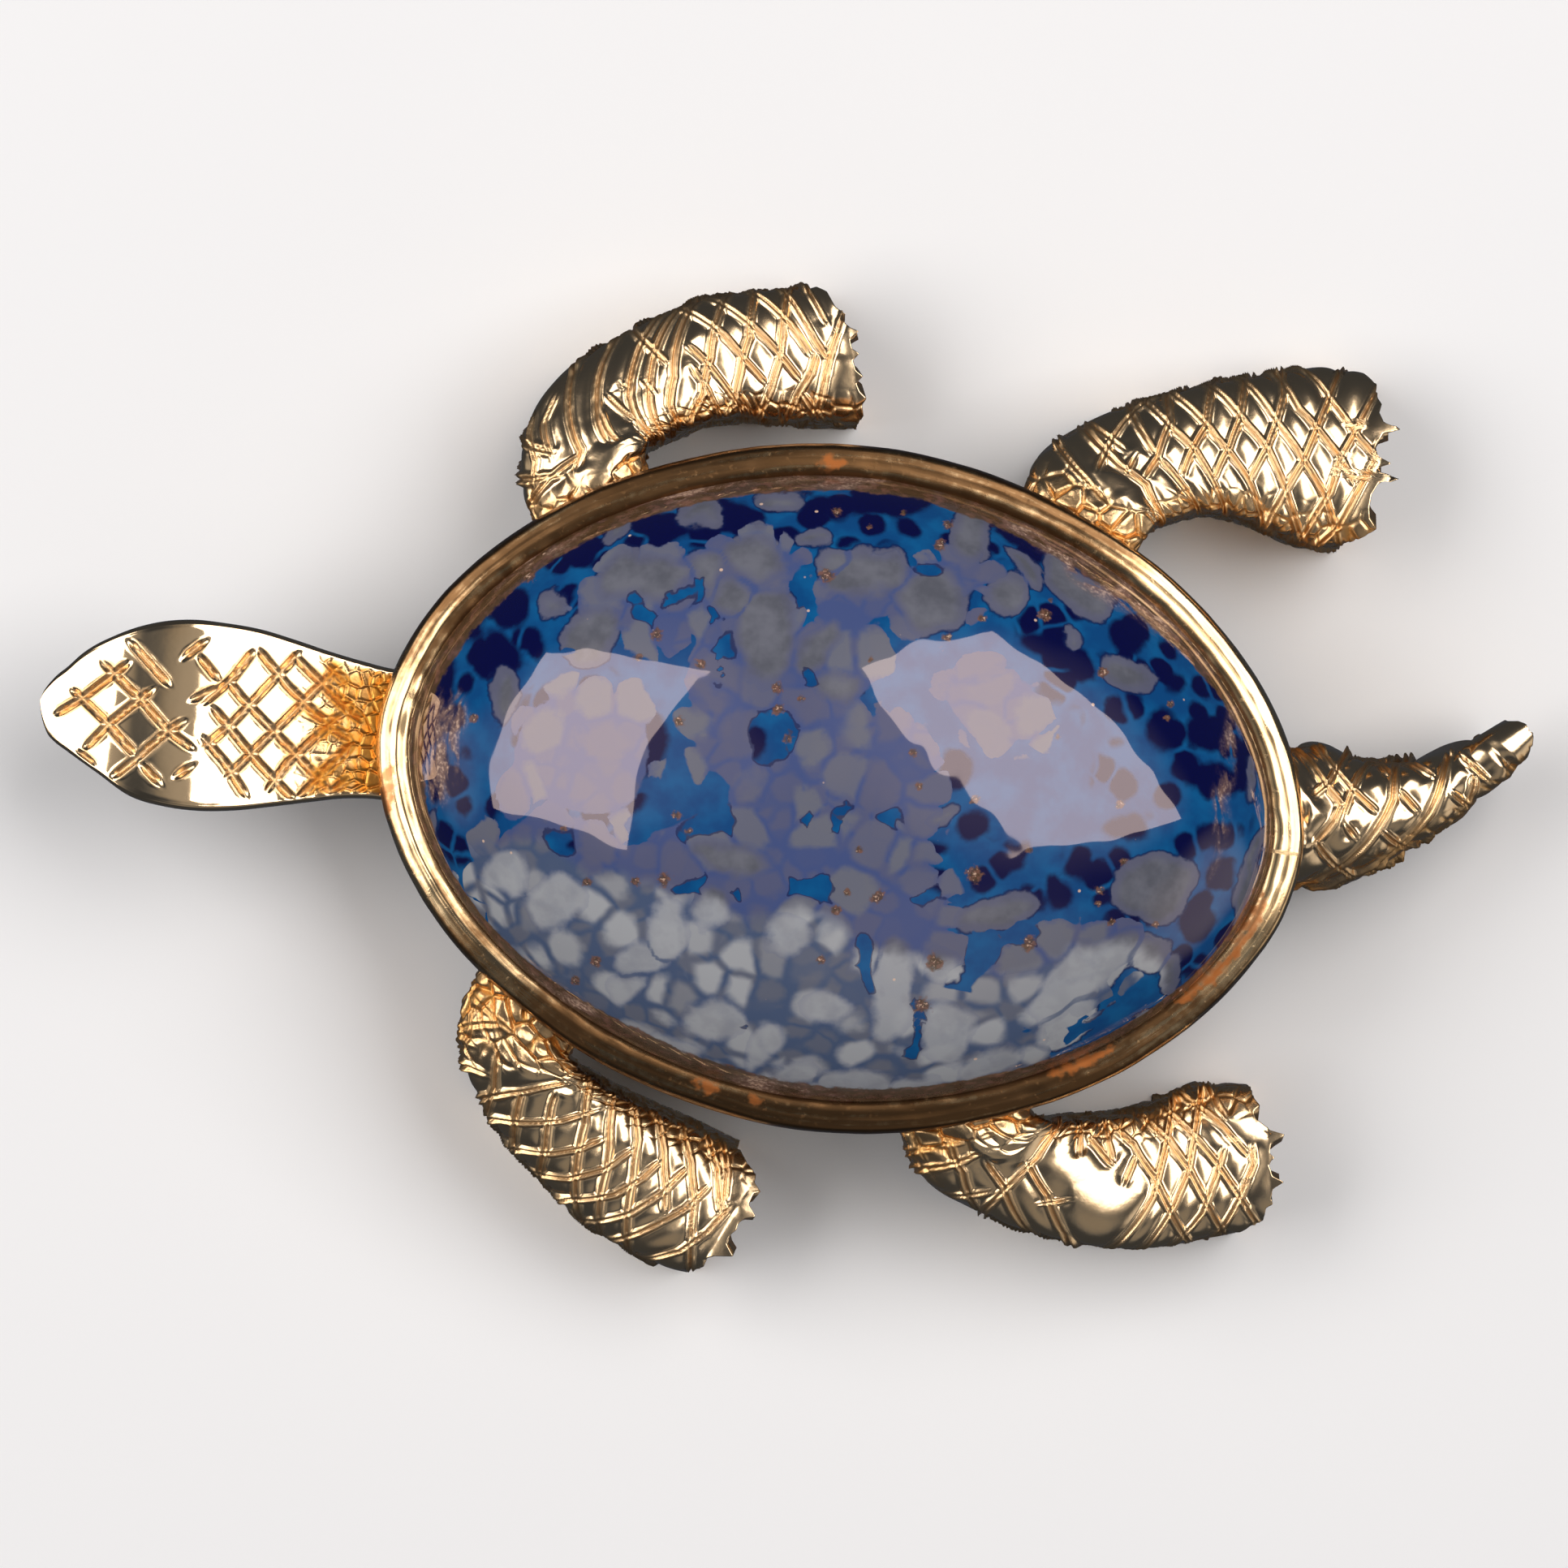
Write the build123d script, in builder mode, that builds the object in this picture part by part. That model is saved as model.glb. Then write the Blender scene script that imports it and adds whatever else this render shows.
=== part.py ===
"""Turtle brooch: a domed glass stone in a gold bezel cup, with a head, four hollow flippers and a tail.

Millimetres. The head points to -X, the tail to +X and the turtle's right side to +Y. +Z is up, out of
the stone's dome. The brooch rests on its flippers' lower edges at z = 0, and the origin is on that
surface, under the middle of the brooch's length.
"""
import os
from collections import namedtuple
from math import cos, radians, sin

from build123d import *

# Stone: an oval cabochon of a standard size
stone_length = 25.0
stone_width = 18.0
stone_girdle = 1.2
stone_dome = 6.0
stone_clearance = 0.1

# Bezel cup
bezel_wall = 0.7
bezel_upright = 2.2
bezel_height = 3.4
rim_lean = 0.45
rim_rounding = 0.15
plate_thickness = 0.9
ride_height = 3.0

# Sheet metal of the hollow flippers and tail
sheet = 0.5
shoulder_rise = 2.8
flipper_crown = 0.45
tail_crown = 0.9

# Flippers: how far each one runs along the body and reaches out, from its root on the bezel
front_right_run = 7.0
front_right_reach = 4.8
front_left_run = 6.7
front_left_reach = 4.9
rear_right_run = 8.4
rear_right_reach = 2.6
rear_left_run = 8.7
rear_left_reach = 1.1
front_width = 3.9
rear_width = 4.0

# Head and tail
head_length = 9.65
head_width = 5.45
head_thickness = 0.9
head_crest = 5.8
head_doming = 0.1
tail_length = 6.0
tail_lift = 3.25
tail_width = 3.8
tail_side = 1.1

# Sawn ends of the flippers
notch_half_share = 0.10

# Pin stem, its hinge and its catch, on the back
pin_span = 18.5
pin_side = 2.0
pin_drop = 1.5
stem_diameter = 0.9
stem_tip_diameter = 0.24
stem_taper = 3.0
stem_overhang = 2.0
barrel_length = 1.2
barrel_radius = 0.85
barrel_side_clearance = 0.1
rivet_radius = 0.4
rivet_clearance = 0.05
rivet_head = 0.15
ear_thickness = 0.6
ear_radius = 1.1
catch_length = 1.6
catch_wall = 0.45
catch_clearance = 0.12
catch_neck = 1.2

# Worked out from the sizes above
bezel_length = stone_length + 2 * (stone_clearance + bezel_wall)
bezel_width = stone_width + 2 * (stone_clearance + bezel_wall)
seat = ride_height + plate_thickness
shoulder = ride_height + shoulder_rise
head_reach = bezel_length / 2 + head_length
tail_reach = bezel_length / 2 + tail_length
body_x = (head_reach - tail_reach) / 2
ground = Plane(origin=(body_x, 0, 0))
pin_z = ride_height - pin_drop
hinge_x = body_x + pin_span / 2
catch_x = body_x - pin_span / 2
hinge_gap = barrel_length + 2 * barrel_side_clearance
catch_bore = stem_diameter / 2 + catch_clearance
stem_length = pin_span + stem_overhang
plate_bite = plate_thickness / 2

# Each section's place is a share of its limb's run and reach from the root, and its width a share of
# the limb's width. Heading is the way the limb points there, in degrees from +X towards the outside.
Section = namedtuple("Section", "along out heading width")
# How the crest and the lower edges come down from root to end, as shares of the shoulder and ride height.
Fall = namedtuple("Fall", "crest foot")
# A notch in a limb's sawn end: its place across the end, and its depth, as shares of the width.
Notch = namedtuple("Notch", "across depth")
Limb = namedtuple("Limb", "side root_x run reach width sections notches")

flipper_fall = [
    Fall(1.00, 1.07),
    Fall(0.99, 0.87),
    Fall(0.95, 0.50),
    Fall(0.88, 0.15),
    Fall(0.80, -0.15),
    Fall(0.72, -0.15),
    Fall(0.65, -0.15),
    Fall(0.59, -0.15),
]

front_right = Limb(
    1, -0.63, front_right_run, front_right_reach, front_width,
    [
        Section(0.10, -0.22, 125, 0.98),
        Section(0.00, 0.00, 125, 0.99),
        Section(-0.01, 0.27, 99, 1.02),
        Section(0.08, 0.50, 75, 0.96),
        Section(0.26, 0.71, 55, 0.93),
        Section(0.47, 0.86, 33, 0.93),
        Section(0.70, 0.94, 17, 0.98),
        Section(1.00, 1.00, 15, 1.00),
    ],
    [Notch(-0.50, 0.10), Notch(-0.28, 0.12), Notch(-0.05, 0.08), Notch(0.18, 0.14), Notch(0.50, 0.22)],
)
front_left = Limb(
    -1, -0.61, front_left_run, front_left_reach, front_width,
    [
        Section(0.10, -0.21, 120, 0.95),
        Section(0.00, 0.00, 120, 0.96),
        Section(0.01, 0.18, 102, 1.00),
        Section(0.12, 0.40, 81, 0.97),
        Section(0.29, 0.59, 60, 0.98),
        Section(0.52, 0.77, 45, 1.05),
        Section(0.75, 0.91, 31, 1.06),
        Section(1.00, 1.00, 24, 0.98),
    ],
    [Notch(-0.50, 0.12), Notch(-0.28, 0.14), Notch(-0.05, 0.09), Notch(0.18, 0.14), Notch(0.50, 0.20)],
)
rear_right = Limb(
    1, 0.44, rear_right_run, rear_right_reach, rear_width,
    [
        Section(-0.05, -0.46, 72, 0.97),
        Section(0.00, 0.00, 72, 0.97),
        Section(0.03, 0.24, 67, 0.98),
        Section(0.13, 0.52, 51, 0.94),
        Section(0.30, 0.80, 31, 0.91),
        Section(0.51, 0.96, 11, 1.02),
        Section(0.74, 1.00, 2, 1.26),
        Section(1.02, 1.00, 0, 1.20),
    ],
    [Notch(-0.50, 0.20), Notch(-0.28, 0.14), Notch(-0.04, 0.09), Notch(0.20, 0.14), Notch(0.50, 0.22)],
)
rear_left = Limb(
    -1, 0.375, rear_left_run, rear_left_reach, rear_width,
    [
        Section(-0.045, -1.10, 73, 1.01),
        Section(0.00, 0.00, 73, 1.01),
        Section(0.05, 0.41, 65, 1.05),
        Section(0.19, 0.77, 43, 0.98),
        Section(0.39, 0.93, 17, 0.96),
        Section(0.58, 0.80, -2, 1.01),
        Section(0.79, 0.13, -10, 1.09),
        Section(1.00, -0.18, -11, 0.96),
    ],
    [Notch(-0.50, 0.16), Notch(-0.27, 0.12), Notch(-0.03, 0.08), Notch(0.20, 0.14), Notch(0.50, 0.14)],
)
flippers = [front_right, front_left, rear_right, rear_left]

# The tail's sections hold their own crest and foot, and the share of the sheet that their width leaves.
TailSection = namedtuple("TailSection", "along out heading width crest foot sheet")
tail_sections = [
    TailSection(-0.20, -0.04, 6, 1.00, 0.93, 1.07, 1.0),
    TailSection(0.00, 0.00, 6, 1.00, 0.93, 0.90, 1.0),
    TailSection(0.20, 0.05, 13, 0.95, 0.89, 0.62, 1.0),
    TailSection(0.45, 0.21, 25, 0.72, 0.82, 0.52, 1.0),
    TailSection(0.67, 0.44, 35, 0.50, 0.74, 0.50, 0.9),
    TailSection(0.87, 0.76, 42, 0.32, 0.66, 0.52, 0.7),
    TailSection(1.00, 1.00, 45, 0.13, 0.60, 0.55, 0.3),
]

# The head's sections: shares of its length, width and crest, and how far each sits to the left.
HeadSection = namedtuple("HeadSection", "along left width crest")
head_sections = [
    HeadSection(-0.07, 0.05, 0.70, 0.74),
    HeadSection(0.03, 0.05, 0.70, 0.75),
    HeadSection(0.18, 0.06, 0.80, 0.78),
    HeadSection(0.33, 0.07, 0.92, 0.86),
    HeadSection(0.51, 0.08, 1.00, 0.95),
    HeadSection(0.70, 0.09, 0.92, 1.00),
    HeadSection(0.83, 0.08, 0.72, 0.96),
    HeadSection(0.92, 0.10, 0.50, 0.90),
    HeadSection(0.98, 0.11, 0.27, 0.84),
    HeadSection(1.00, 0.11, 0.12, 0.81),
]


def facing(x, y, heading):
    """An upright plane that a limb passes through on its heading, with its Y axis straight up."""
    ahead = (cos(radians(heading)), sin(radians(heading)), 0)
    left = (-ahead[1], ahead[0], 0)
    return Plane(origin=(body_x + x, y, 0), x_dir=left, z_dir=ahead)


def arch(plane, width, crest, foot, thickness, crown):
    """A cut across a hollow limb: an oval arch of sheet metal on two upright sides.

    The crown is the arch's rise as a share of half its width."""
    outer = width / 2
    inner = outer - thickness
    rise = crown * outer
    spring = crest - rise
    with BuildSketch(plane) as cut:
        with BuildLine():
            Line((outer, foot), (outer, spring))
            EllipticalCenterArc((0, spring), outer, rise, start_angle=0, arc_size=180)
            Line((-outer, spring), (-outer, foot))
            Line((-outer, foot), (-inner, foot))
            Line((-inner, foot), (-inner, spring))
            EllipticalCenterArc((0, spring), inner, rise - thickness, start_angle=0, arc_size=180)
            Line((inner, spring), (inner, foot))
            Line((inner, foot), (outer, foot))
        make_face()
    return cut.sketch


def flat_cut(plane, width, crest, thickness, doming):
    """A cut across the head: a thin plate, slightly domed."""
    half = width / 2
    edge = crest - doming
    with BuildSketch(plane) as cut:
        with BuildLine():
            Line((-half, edge - thickness), (-half, edge))
            ThreePointArc((-half, edge), (0, crest), (half, edge))
            Line((half, edge), (half, edge - thickness))
            ThreePointArc((half, edge - thickness), (0, crest - thickness), (-half, edge - thickness))
        make_face()
    return cut.sketch


def limb_root(limb):
    """The middle of a flipper's root, on the bezel's outer edge."""
    x = limb.root_x * bezel_length / 2
    y = bezel_width / 2 * (1 - limb.root_x**2) ** 0.5
    return x, y


def limb_plane(limb, section):
    """The plane of one of a flipper's sections."""
    x, y = limb_root(limb)
    return facing(x + section.along * limb.run, limb.side * (y + section.out * limb.reach),
                  limb.side * section.heading)


def limb_cuts(limb):
    """All the cuts that a flipper is lofted through."""
    return [
        arch(limb_plane(limb, section), section.width * limb.width, fall.crest * shoulder,
             fall.foot * ride_height, sheet, flipper_crown)
        for section, fall in zip(limb.sections, flipper_fall)
    ]


def cabochon(length, width, girdle, rise, base):
    """An oval stone's form: an upright girdle under an elliptical dome."""
    half = length / 2
    shoulder_line = base + girdle
    with BuildPart() as form:
        with BuildSketch(Plane(origin=(body_x, 0, 0), x_dir=(1, 0, 0), z_dir=(0, -1, 0))):
            with BuildLine():
                Line((0, base), (half, base))
                Line((half, base), (half, shoulder_line))
                EllipticalCenterArc((0, shoulder_line), half, rise, start_angle=0, arc_size=90)
                Line((0, shoulder_line + rise), (0, base))
            make_face()
        revolve(axis=Axis((body_x, 0, 0), (0, 0, 1)))
        scale(by=(1, width / length, 1), about=(body_x, 0, 0))
    return form.part


stone_space = cabochon(
    stone_length + 2 * stone_clearance, stone_width + 2 * stone_clearance,
    stone_girdle + stone_clearance, stone_dome + stone_clearance, seat,
)

with BuildPart() as stone:
    add(cabochon(stone_length, stone_width, stone_girdle, stone_dome, seat + stone_clearance))

with BuildPart() as setting:
    # Bezel cup, upright below and leaning in over the stone at the rim
    with BuildSketch(ground.offset(ride_height)):
        Ellipse(bezel_length / 2, bezel_width / 2)
    extrude(amount=bezel_upright)
    with BuildSketch(ground.offset(ride_height + bezel_upright)):
        Ellipse(bezel_length / 2, bezel_width / 2)
    with BuildSketch(ground.offset(ride_height + bezel_height)):
        Ellipse(bezel_length / 2 - rim_lean, bezel_width / 2 - rim_lean)
    loft()
    fillet(setting.edges().group_by(Axis.Z)[-1], radius=rim_rounding)

    # Flippers, sawn off and notched at the end
    for limb in flippers:
        loft(limb_cuts(limb))
    for limb in flippers:
        end = limb_plane(limb, limb.sections[-1])
        end_width = limb.sections[-1].width * limb.width
        half = notch_half_share * end_width
        with BuildSketch(Plane(origin=end.origin, x_dir=end.x_dir, z_dir=(0, 0, 1))):
            for notch in limb.notches:
                with Locations((limb.side * notch.across * end_width, 0)):
                    Polygon((-half, -half), (half, -half), (0, notch.depth * end_width), align=None)
        extrude(amount=shoulder, mode=Mode.SUBTRACT)

    # Tail
    loft([
        arch(facing(bezel_length / 2 + s.along * tail_length, tail_side + s.out * tail_lift, s.heading),
             s.width * tail_width, s.crest * shoulder, s.foot * ride_height, s.sheet * sheet, tail_crown)
        for s in tail_sections
    ])

    # Head
    loft([
        flat_cut(facing(-bezel_length / 2 - s.along * head_length, -s.left * head_width, 180),
                 s.width * head_width, s.crest * head_crest, head_thickness, s.width * head_doming)
        for s in head_sections
    ])

    # Space for the stone, and the flippers' lower edges cut level to stand on
    add(stone_space, mode=Mode.SUBTRACT)
    split(bisect_by=Plane.XY, keep=Keep.TOP)

    # Hinge ears
    for side in (-1, 1):
        ear_y = pin_side + side * (hinge_gap + ear_thickness) / 2
        with BuildSketch(Plane(origin=(hinge_x, ear_y, pin_z), x_dir=(1, 0, 0), z_dir=(0, -1, 0))):
            Circle(ear_radius)
            Rectangle(2 * ear_radius, pin_drop + plate_bite, align=(Align.CENTER, Align.MIN))
            Circle(rivet_radius + rivet_clearance, mode=Mode.SUBTRACT)
        extrude(amount=ear_thickness / 2, both=True)

    # Catch, a rolled hook open to one side, on a neck
    with BuildSketch(Plane(origin=(catch_x, pin_side, pin_z), x_dir=(0, 1, 0), z_dir=(1, 0, 0))):
        Circle(catch_bore + catch_wall)
        Rectangle(catch_neck, pin_drop + plate_bite, align=(Align.CENTER, Align.MIN))
        Circle(catch_bore, mode=Mode.SUBTRACT)
        Rectangle(2 * catch_bore, 2 * catch_bore, align=(Align.MIN, Align.CENTER), mode=Mode.SUBTRACT)
    extrude(amount=catch_length / 2, both=True)

with BuildPart() as pin_stem:
    # Stem, drawn to a point past the catch
    stem_start = Plane(origin=(hinge_x, pin_side, pin_z), z_dir=(-1, 0, 0))
    with BuildSketch(stem_start):
        Circle(stem_diameter / 2)
    extrude(amount=stem_length - stem_taper)
    with BuildSketch(stem_start.offset(stem_length - stem_taper)):
        Circle(stem_diameter / 2)
    with BuildSketch(stem_start.offset(stem_length)):
        Circle(stem_tip_diameter / 2)
    loft()

    # Barrel between the ears, with its rivet through them
    with BuildSketch(Plane(origin=(hinge_x, pin_side, pin_z), x_dir=(1, 0, 0), z_dir=(0, -1, 0))):
        Circle(barrel_radius)
    extrude(amount=barrel_length / 2, both=True)
    with BuildSketch(Plane(origin=(hinge_x, pin_side, pin_z), x_dir=(1, 0, 0), z_dir=(0, -1, 0))):
        Circle(rivet_radius)
    extrude(amount=hinge_gap / 2 + ear_thickness + rivet_head, both=True)

setting.part.label = "setting"
stone.part.label = "stone"
pin_stem.part.label = "pin_stem"

os.makedirs("parts", exist_ok=True)
export_step(setting.part, "parts/setting.step")
export_step(stone.part, "parts/stone.step")
export_step(pin_stem.part, "parts/pin_stem.step")
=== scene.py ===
"""The turtle brooch's looks: chased gold limbs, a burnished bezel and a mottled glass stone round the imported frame.

Sizes are in millimetres in the frame's own directions, and are turned into metres when a mesh is made. The head
points to -X, the tail to +X and the turtle's right side to +Y. Chased lines are placed by the photograph's pixels.
"""

import logging
import math
from dataclasses import dataclass, field
from enum import Enum
from typing import Callable, Iterable, Sequence

import bmesh
import bpy
import numpy as np
from mathutils import Matrix, Vector


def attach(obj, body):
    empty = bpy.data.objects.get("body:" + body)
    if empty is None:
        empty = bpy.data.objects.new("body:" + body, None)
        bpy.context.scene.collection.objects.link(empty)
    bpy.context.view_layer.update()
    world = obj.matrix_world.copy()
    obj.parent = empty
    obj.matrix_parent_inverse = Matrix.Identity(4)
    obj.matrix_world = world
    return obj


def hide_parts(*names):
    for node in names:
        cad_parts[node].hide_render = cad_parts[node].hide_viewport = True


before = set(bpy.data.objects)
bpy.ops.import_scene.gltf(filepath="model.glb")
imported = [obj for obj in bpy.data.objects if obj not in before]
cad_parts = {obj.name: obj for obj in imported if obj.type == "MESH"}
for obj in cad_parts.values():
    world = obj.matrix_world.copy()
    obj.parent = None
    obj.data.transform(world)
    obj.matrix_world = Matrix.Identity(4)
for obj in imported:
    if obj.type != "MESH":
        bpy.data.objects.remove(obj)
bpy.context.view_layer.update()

Array = np.ndarray
Pixel = tuple[float, float]
Colour = tuple[float, float, float, float]

MM = 0.001
ROOT_BODY = "root"
log = logging.getLogger("brooch")


class Side(Enum):
    """The turtle's own sides, with the sign that Y has there."""

    RIGHT = 1
    LEFT = -1


class Slot(Enum):
    """The record's material slots."""

    GOLD = "gold"
    GLASS = "glass_stone"


@dataclass(frozen=True)
class Photograph:
    """How the photograph's pixels lie on the brooch, seen from straight above."""

    stone_px: Pixel = (1034.7, 971.5)
    px_per_mm: float = 43.1
    turn_deg: float = 7.95
    stone_x: float = 1.825

    def to_brooch(self, pixels: Array) -> Array:
        """Turns pixels into places on the brooch.

        Args:
            pixels: the pixels, one (right, down) pair a row.

        Returns:
            The (x, y) of each in millimetres.
        """
        turn = math.radians(self.turn_deg)
        right = (pixels[:, 0] - self.stone_px[0]) / self.px_per_mm
        up = (self.stone_px[1] - pixels[:, 1]) / self.px_per_mm
        x = right * math.cos(turn) - up * math.sin(turn) + self.stone_x
        return np.stack([x, right * math.sin(turn) + up * math.cos(turn)], axis=1)

    def to_pixels(self, places: Array) -> Array:
        """Turns places on the brooch into pixels.

        Args:
            places: (x, y) in millimetres, one pair a row.

        Returns:
            The (right, down) pixels of each.
        """
        turn = math.radians(self.turn_deg)
        x, y = places[:, 0] - self.stone_x, places[:, 1]
        right = x * math.cos(turn) + y * math.sin(turn)
        up = -x * math.sin(turn) + y * math.cos(turn)
        return np.stack([self.stone_px[0] + right * self.px_per_mm, self.stone_px[1] - up * self.px_per_mm], axis=1)


PHOTO = Photograph()


def ease(low: float, high: float, at: Array) -> Array:
    """A soft step from 0 at low to 1 at high."""
    share = np.clip((at - low) / (high - low), 0.0, 1.0)
    return share * share * (3 - 2 * share)


def run_smoothly(stations: Array, values: Sequence[float], at: Array) -> Array:
    """Runs one smooth curve through a few values.

    Args:
        stations: where the values stand, rising.
        values: the value at each station.
        at: where the curve is read.

    Returns:
        The curve's value at each place.
    """
    known = np.asarray(values, float)
    slopes = np.gradient(known, stations)
    left = np.clip(np.searchsorted(stations, at) - 1, 0, len(stations) - 2)
    gap = stations[left + 1] - stations[left]
    share = (at - stations[left]) / gap
    square, cube = share**2, share**3
    return (
        (2 * cube - 3 * square + 1) * known[left]
        + (cube - 2 * square + share) * gap * slopes[left]
        + (3 * square - 2 * cube) * known[left + 1]
        + (cube - square) * gap * slopes[left + 1]
    )


@dataclass(frozen=True)
class Unevenness:
    """Gentle waviness of hand-worked metal, the same on every run."""

    seed: int
    pitch: float
    cells: int = 96

    def at(self, along: Array, across: Array) -> Array:
        """The waviness at each place, from about -1 to 1.

        Args:
            along: the places' first distances in millimetres.
            across: the places' second distances.

        Returns:
            One number for each place.
        """
        lattice = np.random.default_rng(self.seed).uniform(-1, 1, (self.cells, self.cells))
        u, v = along / self.pitch, across / self.pitch
        i, j = np.floor(u).astype(int), np.floor(v).astype(int)
        p, q = u - i, v - j
        p, q = p * p * (3 - 2 * p), q * q * (3 - 2 * q)
        i, j, i1, j1 = i % self.cells, j % self.cells, (i + 1) % self.cells, (j + 1) % self.cells
        return (lattice[i, j] * (1 - p) + lattice[i1, j] * p) * (1 - q) + (
            lattice[i, j1] * (1 - p) + lattice[i1, j1] * p
        ) * q


@dataclass(frozen=True)
class Facets:
    """Small tilted facets that meet in creases, as on crumpled or half-melted gold."""

    seed: int
    pitch: float
    crease: float = 0.16
    cells: int = 64

    def at(self, along: Array, across: Array) -> tuple[Array, Array]:
        """The facets' height at each place, from about -1 in a crease to 1, and how much of a crease it is.

        Args:
            along: the places' first distances in millimetres.
            across: the places' second distances.

        Returns:
            The height and the crease's share for each place.
        """
        seeds = np.random.default_rng(self.seed).uniform(0, 1, (self.cells, self.cells, 4))
        u, v = along / self.pitch, across / self.pitch
        i, j = np.floor(u).astype(int), np.floor(v).astype(int)
        nearest, second, tilt = np.full(u.shape, 9.0), np.full(u.shape, 9.0), np.zeros(u.shape)
        for di in (-1, 0, 1):
            for dj in (-1, 0, 1):
                facet = seeds[(i + di) % self.cells, (j + dj) % self.cells]
                du, dv = i + di + facet[..., 0] - u, j + dj + facet[..., 1] - v
                gap = np.hypot(du, dv)
                closer = gap < nearest
                second = np.where(closer, nearest, np.minimum(second, gap))
                tilt = np.where(closer, (facet[..., 2] - 0.5) * du + (facet[..., 3] - 0.5) * dv, tilt)
                nearest = np.minimum(nearest, gap)
        crease = np.exp(-(((second - nearest) / self.crease) ** 2))
        return 1.8 * tilt - crease, crease


@dataclass(frozen=True)
class Oval:
    """The bezel's outline: an oval drawn in a little on its diagonals.

    Patterns that run round it are laid out on a circle whose radius is unrolled. The limbs and the head reach into it
    by buried.
    """

    half_length: float = 13.3
    half_width: float = 9.8
    fullness: float = 1.88
    middle_x: float = PHOTO.stone_x
    unrolled: float = 11.6
    buried: float = 0.35

    def reach(self, angle: Array, inset: float | Array = 0.0) -> Array:
        """The outline's places, drawn in by an inset.

        Args:
            angle: the angles round the oval in radians.
            inset: how far inside the outline, in millimetres.

        Returns:
            One (x, y) a row.
        """
        cosine, sine = np.cos(angle), np.sin(angle)
        swell = (np.abs(cosine) ** self.fullness + np.abs(sine) ** self.fullness) ** (-1 / self.fullness)
        x = (self.half_length - inset) * cosine * swell + self.middle_x
        return np.stack([x, (self.half_width - inset) * sine * swell], axis=-1)

    def share(self, x: Array, y: Array, inset: float = 0.0) -> Array:
        """How far out a place is: 1 on the outline at that inset, and less inside it.

        Args:
            x: the places' x.
            y: the places' y.
            inset: how far inside the bezel's outline, in millimetres.

        Returns:
            One number for each place.
        """
        u = np.abs((x - self.middle_x) / (self.half_length - inset)) ** self.fullness
        v = np.abs(y / (self.half_width - inset)) ** self.fullness
        return (u + v) ** (1 / self.fullness)

    def keep_out(self, points: Array) -> Array:
        """Moves the points that lie deeper in the bezel than joined pieces go out to that depth.

        Args:
            points: the points in millimetres.

        Returns:
            The points, moved where they have to be.
        """
        share = np.maximum(self.share(points[..., 0], points[..., 1], self.buried), 1e-6)
        push = np.where(share < 1, 1 / share, 1.0)
        moved = points.copy()
        moved[..., 0] = (points[..., 0] - self.middle_x) * push + self.middle_x
        moved[..., 1] = points[..., 1] * push
        return moved


OVAL = Oval()


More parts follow.
